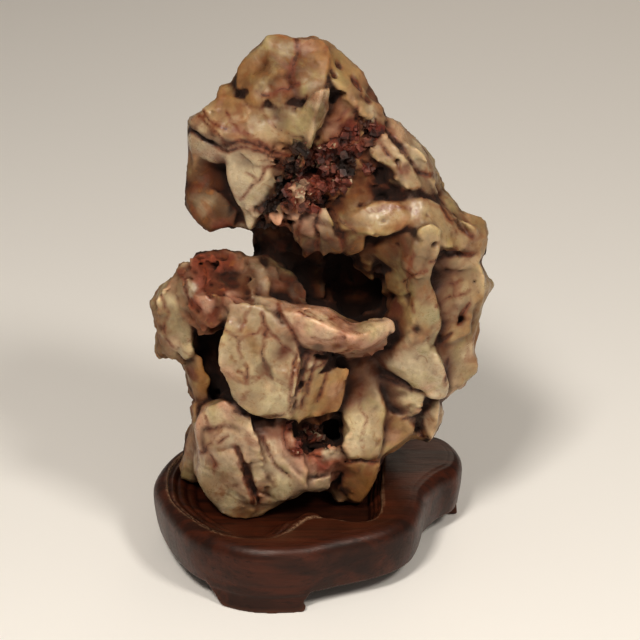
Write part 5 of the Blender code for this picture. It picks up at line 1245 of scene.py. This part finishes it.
def paint_stone(stone, field, look, seams):
    """Keeps the tone, and the layers of crease, shade, vein and crest, with the surface."""
    points = mesh_points(stone)
    small = field.fullness(points, CLOSE_BY)
    crease = above(small, *STONE_CREASE)
    crest = below(small, *STONE_CREST)
    shade = above(field.fullness(points, STONE_ROUND), *STONE_SHADE)
    crease = np.maximum(crease, smooth_step(field.sample(seams, points) * 1.1))
    tone = field.sample(look, points)
    lay_washes(points, tone, field)
    lines = list(VEINS.values()) + list(CRACKS.values())
    vein = 1 - line_distances(points, lines, field) / LINE_REACH
    crusty = stone.data.attributes.new("crusty", "FLOAT", "POINT")
    level, growth = CRUSTY
    crusty.data.foreach_set("value", smooth_step((tone[:, 3] - level) * growth).astype(np.float32))
    keep_layer(stone, "tone", tone)
    # The crease and shade in this layer darken the stone as painted shade, and the crest lightens it
    # partly as a painted highlight.
    keep_layer(stone, "shade_and_wear", np.stack([crease, shade, vein, crest], axis=1))


def make_stone():
    """The stone, and its field, which the stand's seat is carved to."""
    field = Field(STONE_BOX, STONE_STEP)
    look, seams = fuse_lobes(field)
    trim_outline(field)
    cut_hollows(field)
    lay_crusts(field, look)
    roughen(field, look)
    cut_cracks(field)
    cut_pits(field)
    flatten_sole(field)
    stone = field.to_mesh("weathered_rock", STONE_TRIANGLES)
    paint_stone(stone, field, look, seams)
    return stone, field


# ---- the stand


def side_inset(height):
    """How far the stand's side lies inside its outline: a round shoulder over a narrowing apron."""
    shoulder = STAND_HEIGHT - SHOULDER_RADIUS
    rise = np.clip(height - shoulder, 0, SHOULDER_RADIUS)
    turned = SHOULDER_RADIUS - np.sqrt(SHOULDER_RADIUS ** 2 - rise ** 2)
    fall = np.clip((shoulder - height) / (shoulder - APRON_HEIGHT), 0, 1)
    return turned + APRON_INSET * fall ** 2


def seat_floor(plan, rim):
    """The height of the carved seat: ridges that step down from the rim, and carved swells."""
    inwards = np.clip(-rim, 0, None)
    width = STEPS_NARROW + (STEPS_WIDE - STEPS_NARROW) * smooth_step((6 - plan[:, 0]) / 24)
    down = np.clip(inwards / width, 0, 1)
    beads = np.abs(np.sin(np.pi * STEP_COUNT * down)) ** 0.7 * smooth_step(inwards / BEAD_START)
    floor = SEAT_HEIGHT - SEAT_GAP + STEPS_RISE * (1 - down) + BEAD_HEIGHT * beads
    for x, y, reach, height in SEAT_SWELLS:
        away = np.hypot(plan[:, 0] - x, plan[:, 1] - y) / reach
        floor = floor + height * np.exp(-away ** 2)
    return floor


def add_feet(solid, outer, along, z, marks):
    """Adds the bracket feet: each narrows downwards in a bent line, with a nick near its end."""
    fall = np.clip(1 - z / APRON_HEIGHT, 0, 1) ** 1.4
    nick = NICK_DEPTH * np.exp(-((z - NICK_HEIGHT) / NICK_REACH) ** 2)
    for start, end, narrow_start, narrow_end in FEET:
        first = np.interp(start, range(len(marks)), marks) + narrow_start * fall + nick * 0.4
        last = np.interp(end, range(len(marks)), marks) - narrow_end * fall - nick
        foot = np.maximum(first - along, along - last)
        foot = np.maximum(foot, outer + APRON_INSET - FOOT_KICK * fall)
        foot = np.maximum(foot, -(outer + APRON_INSET + FOOT_DEPTH))
        foot = np.maximum(foot, np.maximum(z - APRON_HEIGHT - 2, -z))
        solid = smooth_join(solid, foot, FOOT_BLEND)
    return solid


def carve_stand(stone_field):
    """The stand's field, and how far each place on plan lies outside the seat's rim."""
    field = Field(STAND_BOX, STAND_STEP)
    x, y = np.meshgrid(field.axes[0], field.axes[1], indexing="ij")
    plan = np.column_stack([x.ravel(), y.ravel()]) - SHEET_CENTRE[:2]
    outline = smooth_loop(STAND_OUTLINE, LOOP_STEPS)
    steps = np.linalg.norm(np.roll(outline, -1, axis=0) - outline, axis=1)
    marks = np.concatenate([[0], np.cumsum(steps)])[::LOOP_STEPS]
    outer, along = loop_distance(plan, outline)
    rim = loop_distance(plan, smooth_loop(SEAT_OUTLINE, LOOP_STEPS))[0]
    floor = seat_floor(plan, rim)
    outer, along, rim, floor = (flat.reshape(x.shape)[:, :, None] for flat in (outer, along, rim, floor))
    z = field.axes[2][None, None, :]
    side = outer + side_inset(z)
    solid = np.maximum(np.maximum(side, z - STAND_HEIGHT), APRON_HEIGHT - z)
    solid = add_feet(solid, outer, along, z, marks)
    solid = smooth_cut(solid, np.maximum(outer + UNDER_RIM, z - UNDER_HEIGHT), UNDER_BLEND)
    solid = smooth_cut(solid, np.maximum(rim, floor - z), RIM_EASE)
    corners = np.stack(np.broadcast_arrays(x[:, :, None], y[:, :, None], z), axis=-1).reshape(-1, 3)
    stone = stone_field.sample(stone_field.values, corners)
    stone = np.where(corners[:, 2] < stone_field.low[2] + 1, FAR, stone).reshape(field.shape)
    field.values = smooth_cut(solid, stone - SEAT_GAP, SEAT_GAP).astype(np.float32)
    return field, rim[:, :, 0]


def make_stand(stone_field):
    """The stand, with its layer of crease, shade, crest and scuffed rim."""
    field, rim = carve_stand(stone_field)
    stand = field.to_mesh("carved_stand", STAND_TRIANGLES)
    points = mesh_points(stand)
    near = field.fullness(points, CLOSE_BY)
    crease = above(near, *STAND_CREASE)
    shade = above(field.fullness(points, STAND_ROUND), *STAND_SHADE)
    crest = below(near, *STAND_CREST)
    cell = ((points[:, :2] - field.low[:2]) / field.step).round().astype(int)
    cell = np.clip(cell, 0, np.array(rim.shape) - 1)
    scuffed = 1 - np.abs(rim[cell[:, 0], cell[:, 1]] + 0.2) / SCUFF_WIDTH
    scuffed = np.where(points[:, 2] > STAND_HEIGHT - SCUFF_DEPTH, np.clip(scuffed, 0, 1), 0)
    # The crease and shade in this layer blacken the wood as painted shade.
    keep_layer(stand, "shade_and_wear", np.stack([crease, shade, crest, scuffed], axis=1))
    return stand


# ---- finishes


class Sheet:
    """The nodes of one tree, with short ways to add to them."""

    def __init__(self, tree):
        self.nodes = tree.nodes
        self.links = tree.links

    def give(self, node, given):
        """Gives a node's inputs their values, or the outputs that feed them."""
        for name, value in given.items():
            socket = node.inputs[name]
            if isinstance(value, bpy.types.NodeSocket):
                self.links.new(value, socket)
            elif socket.type == "RGBA":
                socket.default_value = (*value, 1)
            else:
                socket.default_value = value

    def add(self, kind, given, **settings):
        """A new node with its settings and inputs."""
        node = self.nodes.new(kind)
        for name, value in settings.items():
            setattr(node, name, value)
        self.give(node, given)
        return node

    def place(self):
        """Where a point lies on its piece."""
        return self.add("ShaderNodeTexCoord", {}).outputs["Object"]

    def layer(self, name):
        """The colour and the fourth number of a layer kept with the mesh."""
        kept = self.add("ShaderNodeVertexColor", {}, layer_name=name)
        return kept.outputs["Color"], kept.outputs["Alpha"]

    def parts(self, colour):
        """The three numbers of a colour."""
        parts = self.add("ShaderNodeSeparateColor", {"Color": colour})
        return [parts.outputs[side] for side in ("Red", "Green", "Blue")]

    def noise(self, place, scale, detail, rough=0.55, warp=0.0):
        """Cloudy noise from 0 to 1."""
        given = {"Vector": place, "Scale": scale, "Detail": detail, "Roughness": rough, "Distortion": warp}
        return self.add("ShaderNodeTexNoise", given).outputs["Fac"]

    def spread(self, value, low, high, to_low=0.0, to_high=1.0):
        """Stretches a value from one range to another, with soft ends."""
        given = {"Value": value, "From Min": low, "From Max": high, "To Min": to_low, "To Max": to_high}
        node = self.add("ShaderNodeMapRange", given, interpolation_type="SMOOTHSTEP")
        return node.outputs["Result"]

    def maths(self, kind, first, second):
        return self.add("ShaderNodeMath", {0: first, 1: second}, operation=kind).outputs[0]

    def times(self, first, second):
        return self.maths("MULTIPLY", first, second)

    def plus(self, first, second):
        return self.maths("ADD", first, second)

    def scaled(self, colour, level):
        """Makes a colour lighter or darker, or a length longer or shorter, by a value."""
        node = self.add("ShaderNodeVectorMath", {0: colour, "Scale": level}, operation="SCALE")
        return node.outputs["Vector"]

    def tinted(self, base, tint, amount):
        """Lays a colour over another by an amount."""
        given = {"Factor": amount, "A": base, "B": tint}
        return self.add("ShaderNodeMix", given, data_type="RGBA").outputs["Result"]

    def lightness(self, colour):
        return self.add("ShaderNodeRGBToBW", {"Color": colour}).outputs["Val"]

    def relief(self, *heights):
        """Adds up heights, as pairs of a value and millimetres, into one bump."""
        total = None
        for value, height in heights:
            part = self.times(value, height * MM)
            total = part if total is None else self.plus(total, part)
        given = {"Strength": 1.0, "Distance": 1.0, "Height": total}
        return self.add("ShaderNodeBump", given).outputs["Normal"]

    def vein_net(self, place, scale, wander):
        """How far a place lies from a wandering net of lines, in shares of the net's mesh."""
        bend = self.add("ShaderNodeTexNoise", {"Vector": place, "Scale": scale * 1.4, "Detail": 4})
        given = {0: bend.outputs["Color"], 1: (wander / scale,) * 3, 2: place}
        moved = self.add("ShaderNodeVectorMath", given, operation="MULTIPLY_ADD")
        given = {"Vector": moved.outputs["Vector"], "Scale": scale}
        return self.add("ShaderNodeTexVoronoi", given, feature="DISTANCE_TO_EDGE").outputs["Distance"]


def new_finish(name):
    """A new finish, the sheet of its nodes and its surface shader."""
    finish = bpy.data.materials.new(name)
    finish.use_nodes = True
    sheet = Sheet(finish.node_tree)
    return finish, sheet, sheet.nodes["Principled BSDF"]


def stone_finish():
    """Weathered stone: its own tones, cloudy bands, brown veins, creases that are partly stained and
    partly painted shade, painted shade in the hollows, crests lightened partly as a painted highlight,
    worn gloss.
    """
    finish, sheet, shader = new_finish("weathered_stone")
    spread, times, plus, tinted = sheet.spread, sheet.times, sheet.plus, sheet.tinted
    place = sheet.place()
    tone, rough = sheet.layer("tone")
    shade_and_wear, crest = sheet.layer("shade_and_wear")
    crease, shade, vein = sheet.parts(shade_and_wear)
    broad = sheet.noise(place, 24, 3, 0.5, 0.5)
    clouds = sheet.noise(place, 62, 4, 0.55, 1.0)
    patches = sheet.noise(place, 130, 4, 0.6, 1.8)
    mottle = sheet.noise(place, 420, 4, 0.6)
    flecks = sheet.noise(place, 330, 2, 0.5)
    grain = sheet.noise(place, 1500, 3, 0.7)

    # Clouds over the lighter tones, then lighter crests, partly paler worn stone and partly a painted
    # highlight, and mottling.
    colour = tone
    for tint, cloud, thin, thick, strength in (
            (CLOUD_PINK, clouds, 0.52, 0.72, 0.4), (CLOUD_GREEN, clouds, 0.47, 0.3, 0.5),
            (CLOUD_OCHRE, patches, 0.55, 0.72, 0.6), (CREASE_BROWN, broad, 0.52, 0.74, 0.3)):
        colour = tinted(colour, tint, spread(cloud, thin, thick, 0, strength))
    level = sheet.lightness(tone)
    light = spread(level, 0.004, 0.07)
    colour = tinted(tone, colour, light)
    colour = sheet.scaled(colour, spread(crest, 0.0, 1.0, 0.94, 1.35))
    colour = sheet.scaled(colour, spread(mottle, 0.3, 0.7, 0.86, 1.08))

    # A net of rusty veins, flecks, and an ochre glow round the hollows, painted as the warm half-shade of
    # translucent stone.
    net = sheet.vein_net(place, 40, 1.1)
    netted = times(spread(net, 0.12, 0.0, 0, 0.45), spread(clouds, 0.44, 0.6))
    colour = tinted(colour, STAIN_RUST, netted)
    colour = tinted(colour, STAIN_RUST, spread(flecks, 0.7, 0.78, 0, 0.4))
    colour = tinted(colour, EDGE_OCHRE, times(spread(shade, 0.04, 0.55, 0, 0.75), light))
    colour = tinted(colour, STAIN_RUST, times(crease, spread(patches, 0.35, 0.6, 0.3, 0.95)))

    # Drawn veins, each with a rusty halo round a brown line.
    near = plus(vein, times(sheet.maths("SUBTRACT", mottle, 0.5), 0.35))
    halo = times(spread(near, 0.55, 1.0, 0, 0.85), spread(clouds, 0.35, 0.6, 0.5, 1.0))
    colour = tinted(colour, STAIN_RUST, halo)
    drawn = times(spread(near, 0.9, 1.0, 0, 0.72), spread(patches, 0.36, 0.54, 0.35, 1.0))
    colour = tinted(colour, VEIN_BROWN, drawn)

    # Darker in the creases, partly brown staining and partly painted shade, and painted shade in the deep
    # hollows.
    creased = times(sheet.maths("POWER", crease, 1.25), spread(mottle, 0.2, 0.6, 0.6, 1.15))
    creased = sheet.maths("MINIMUM", creased, 1.0)
    colour = tinted(colour, DEEP_BROWN, times(creased, 0.92))
    colour = tinted(colour, DEEP_BROWN, times(shade, 0.97))

    # Gloss: less on rough and dark stone, in the creases and the hollows, and patchy all over.
    gloss = plus(times(rough, 0.45), 0.28)
    gloss = plus(gloss, spread(level, 0.0, 0.3, 0.42, 0.0))
    gloss = plus(gloss, times(sheet.maths("MAXIMUM", creased, shade), 0.5))
    gloss = plus(gloss, spread(patches, 0.36, 0.62, -0.08, 0.1))
    gloss = plus(gloss, spread(grain, 0.3, 0.7, -0.05, 0.08))
    grit = times(grain, plus(rough, 0.12))
    lumps = times(mottle, plus(rough, 0.1))
    sheet.give(shader, {
        "Base Color": colour, "Roughness": gloss, "Normal": sheet.relief((lumps, 0.45), (grit, 0.06)),
        "Specular IOR Level": 0.5, "Subsurface Weight": 0.2, "Subsurface Scale": 0.6,
        "Subsurface Radius": (0.005, 0.0025, 0.0012)})
    return finish


def crumb_finish():
    """Crusty crumbs in the stone's own tones, some of them rosy or pale, with painted shade that darkens
    them in the hollows.
    """
    finish, sheet, shader = new_finish("crusty_crumbs")
    spread, times, tinted = sheet.spread, sheet.times, sheet.tinted
    place = sheet.place()
    kinds = sheet.noise(place, 260, 2, 0.5)
    grain = sheet.noise(place, 1400, 4, 0.7)
    tone = sheet.layer("tone")[0]
    shade = sheet.parts(sheet.layer("shade_and_wear")[0])[1]
    light = spread(sheet.lightness(tone), 0.01, 0.035, 0.15, 1.0)
    colour = sheet.scaled(tone, spread(kinds, 0.38, 0.5, 0.4, 1.15))
    for tint, thin, thick, strength in (("rose", 0.54, 0.62, 0.75), ("pale", 0.66, 0.72, 0.9)):
        amount = times(spread(kinds, thin, thick, 0, strength), light)
        colour = tinted(colour, TONES[tint][:3], amount)
    colour = sheet.scaled(colour, spread(grain, 0.3, 0.7, 0.6, 1.2))
    colour = tinted(colour, DEEP_BROWN, times(shade, 0.85))
    sheet.give(shader, {"Base Color": colour, "Roughness": spread(grain, 0.3, 0.7, 0.4, 0.75),
                        "Normal": sheet.relief((grain, 0.15))})
    return finish


def stand_finish():
    """Dark rosewood, rubbed to a low gloss, paler along the scuffed rim, with painted shade that turns it
    black in its creases and hollows.
    """
    finish, sheet, shader = new_finish("dark_rosewood")
    spread, times, tinted = sheet.spread, sheet.times, sheet.tinted
    place = sheet.place()
    shade_and_wear, scuffed = sheet.layer("shade_and_wear")
    crease, shade, crest = sheet.parts(shade_and_wear)
    given = {"Vector": place, "Scale": (0.09, 1.0, 0.8), "Rotation": (0.05, 0.0, math.radians(-14))}
    along = sheet.add("ShaderNodeMapping", given).outputs["Vector"]
    fibres = sheet.noise(along, 900, 6, 0.7)
    bands = sheet.noise(along, 170, 3, 0.5, 0.8)
    patches = sheet.noise(place, 26, 4, 0.55)
    scuffs = sheet.noise(place, 700, 4, 0.7)
    dusty = times(scuffed, spread(scuffs, 0.36, 0.56))
    colour = WOOD_DARK
    # Red bands and black patches in the grain, worn crests and dusty scuffs; the last two blacks are
    # painted shade in the creases and hollows.
    for tint, amount in (
            (WOOD_RED, spread(bands, 0.35, 0.68)), (WOOD_BLACK, spread(patches, 0.52, 0.7, 0, 0.55)),
            (WOOD_BLACK, spread(fibres, 0.52, 0.66, 0, 0.55)), (WOOD_WORN, times(crest, 0.35)),
            (SCUFF_PALE, times(dusty, 0.9)), (WOOD_BLACK, times(crease, 0.8)),
            (WOOD_BLACK, times(shade, 0.6))):
        colour = tinted(colour, tint, amount)
    gloss = sheet.plus(spread(patches, 0.3, 0.7, 0.28, 0.4), spread(fibres, 0.4, 0.7, 0.0, 0.1))
    gloss = sheet.plus(gloss, times(dusty, 0.3))
    sheet.give(shader, {"Base Color": colour, "Roughness": gloss, "Specular IOR Level": 0.3,
                        "Normal": sheet.relief((fibres, 0.1), (patches, 0.4))})
    return finish


# ---- crumbs on the crusty stone


def crumb_tree():
    """Scatters small uneven crumbs over a mesh, thickest where its layer crusty is strong."""
    tree = bpy.data.node_groups.new("crumbs", "GeometryNodeTree")
    for name, kind in (("Mesh", "Geometry"), ("Density", "Float"), ("Smallest", "Float"),
                       ("Largest", "Float"), ("Seed", "Int"), ("Finish", "Material")):
        tree.interface.new_socket(name, in_out="INPUT", socket_type="NodeSocket" + kind)
    tree.interface.new_socket("Crumbs", in_out="OUTPUT", socket_type="NodeSocketGeometry")
    sheet = Sheet(tree)
    add = sheet.add
    given = add("NodeGroupInput", {}).outputs
    seed = given["Seed"]
    crusty = add("GeometryNodeInputNamedAttribute", {"Name": "crusty"}, data_type="FLOAT")
    amount = sheet.times(given["Density"], crusty.outputs["Attribute"])
    points = add("GeometryNodeDistributePointsOnFaces", {"Mesh": given["Mesh"], "Density": amount,
                                                         "Seed": seed})
    crumb = add("GeometryNodeMeshCube", {"Size": (1.6, 1.6, 1.6)})
    chance = add("FunctionNodeRandomValue", {"Seed": seed}, data_type="FLOAT").outputs[1]
    size = add("ShaderNodeMapRange", {"Value": sheet.maths("POWER", chance, 3.0),
                                      "To Min": given["Smallest"], "To Max": given["Largest"]})
    turn = add("FunctionNodeRandomValue", {"Max": (math.tau,) * 3}, data_type="FLOAT_VECTOR")
    shape = add("FunctionNodeRandomValue", {"Min": (0.6, 0.6, 0.5), "Max": (1.5, 1.1, 1.0)},
                data_type="FLOAT_VECTOR")
    laid = add("GeometryNodeInstanceOnPoints", {
        "Points": points.outputs["Points"], "Instance": crumb.outputs["Mesh"],
        "Rotation": turn.outputs["Value"],
        "Scale": sheet.scaled(shape.outputs["Value"], size.outputs["Result"])})
    real = add("GeometryNodeRealizeInstances", {"Geometry": laid.outputs["Instances"]})
    uneven = add("ShaderNodeTexNoise", {"Scale": 700}).outputs["Color"]
    moved = add("ShaderNodeVectorMath", {0: uneven, 1: (0.5, 0.5, 0.5)}, operation="SUBTRACT")
    bent = add("GeometryNodeSetPosition", {
        "Geometry": real.outputs["Geometry"],
        "Offset": sheet.scaled(moved.outputs["Vector"], CRUMB_BEND * MM)})
    painted = add("GeometryNodeSetMaterial", {"Geometry": bent.outputs["Geometry"],
                                              "Material": given["Finish"]})
    add("NodeGroupOutput", {"Crumbs": painted.outputs["Geometry"]})
    return tree


def make_crumbs(stone):
    """Crumbs over the crusty parts of the stone, as one plain mesh."""
    tree = crumb_tree()
    crumbs = bpy.data.objects.new("crusty_crumbs", stone.data.copy())
    bpy.context.scene.collection.objects.link(crumbs)
    scatter = crumbs.modifiers.new("scatter", "NODES")
    scatter.node_group = tree
    values = {"Density": CRUMB_DENSITY, "Smallest": CRUMB_SMALLEST * MM,
              "Largest": CRUMB_LARGEST * MM, "Seed": CRUMB_SEED, "Finish": crumb_finish()}
    for socket in tree.interface.items_tree:
        if socket.name in values:
            scatter[socket.identifier] = values[socket.name]
    apply_modifiers(crumbs)
    return crumbs


# ---- floor, lights and camera


def make_stage():
    bpy.ops.mesh.primitive_plane_add(size=6)
    floor = bpy.context.object
    floor.name = "floor"
    finish, sheet, shader = new_finish("pale_floor")
    sheet.give(shader, {"Base Color": FLOOR_COLOUR, "Roughness": 0.7})
    floor.data.materials.append(finish)


def make_lights():
    """Four soft lights round the stone, in a dim warm room."""
    for name, (direction, size, power, colour) in LIGHTS.items():
        data = bpy.data.lights.new(name, "AREA")
        data.size = size
        data.energy = power
        data.color = colour
        light = bpy.data.objects.new(name, data)
        away = Vector(direction).normalized()
        light.location = Vector(LIGHT_AIM) + away * LIGHT_DISTANCE
        light.rotation_euler = away.to_track_quat("Z", "Y").to_euler()
        bpy.context.scene.collection.objects.link(light)
    room = bpy.data.worlds.new("studio")
    room.use_nodes = True
    room.node_tree.nodes["Background"].inputs["Color"].default_value = ROOM_COLOUR
    room.node_tree.nodes["Background"].inputs["Strength"].default_value = ROOM_STRENGTH
    bpy.context.scene.world = room
    bpy.context.scene.view_settings.view_transform = "Standard"
    bpy.context.scene.view_settings.look = "Medium High Contrast"


def make_camera():
    """The eye that the drafting sheet is drawn for."""
    data = bpy.data.cameras.new("camera")
    data.sensor_width = FILM_WIDTH
    data.lens = FILM_WIDTH * EYE_DISTANCE / (2 * SHEET_MIDDLE * SQUARE)
    camera = bpy.data.objects.new("camera", data)
    camera.location = Vector(EYE * MM)
    camera.rotation_euler = Vector(TO_EYE).to_track_quat("Z", "Y").to_euler()
    bpy.context.scene.collection.objects.link(camera)
    bpy.context.scene.camera = camera


def main():
    make_camera()
    make_lights()
    make_stage()
    stone, field = make_stone()
    stone.data.materials.append(stone_finish())
    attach(stone, "root")
    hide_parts("scholars_rock")
    crumbs = make_crumbs(stone)
    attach(crumbs, "root")
    stand = make_stand(field)
    stand.data.materials.append(stand_finish())
    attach(stand, "root")
    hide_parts("wooden_stand")


main()
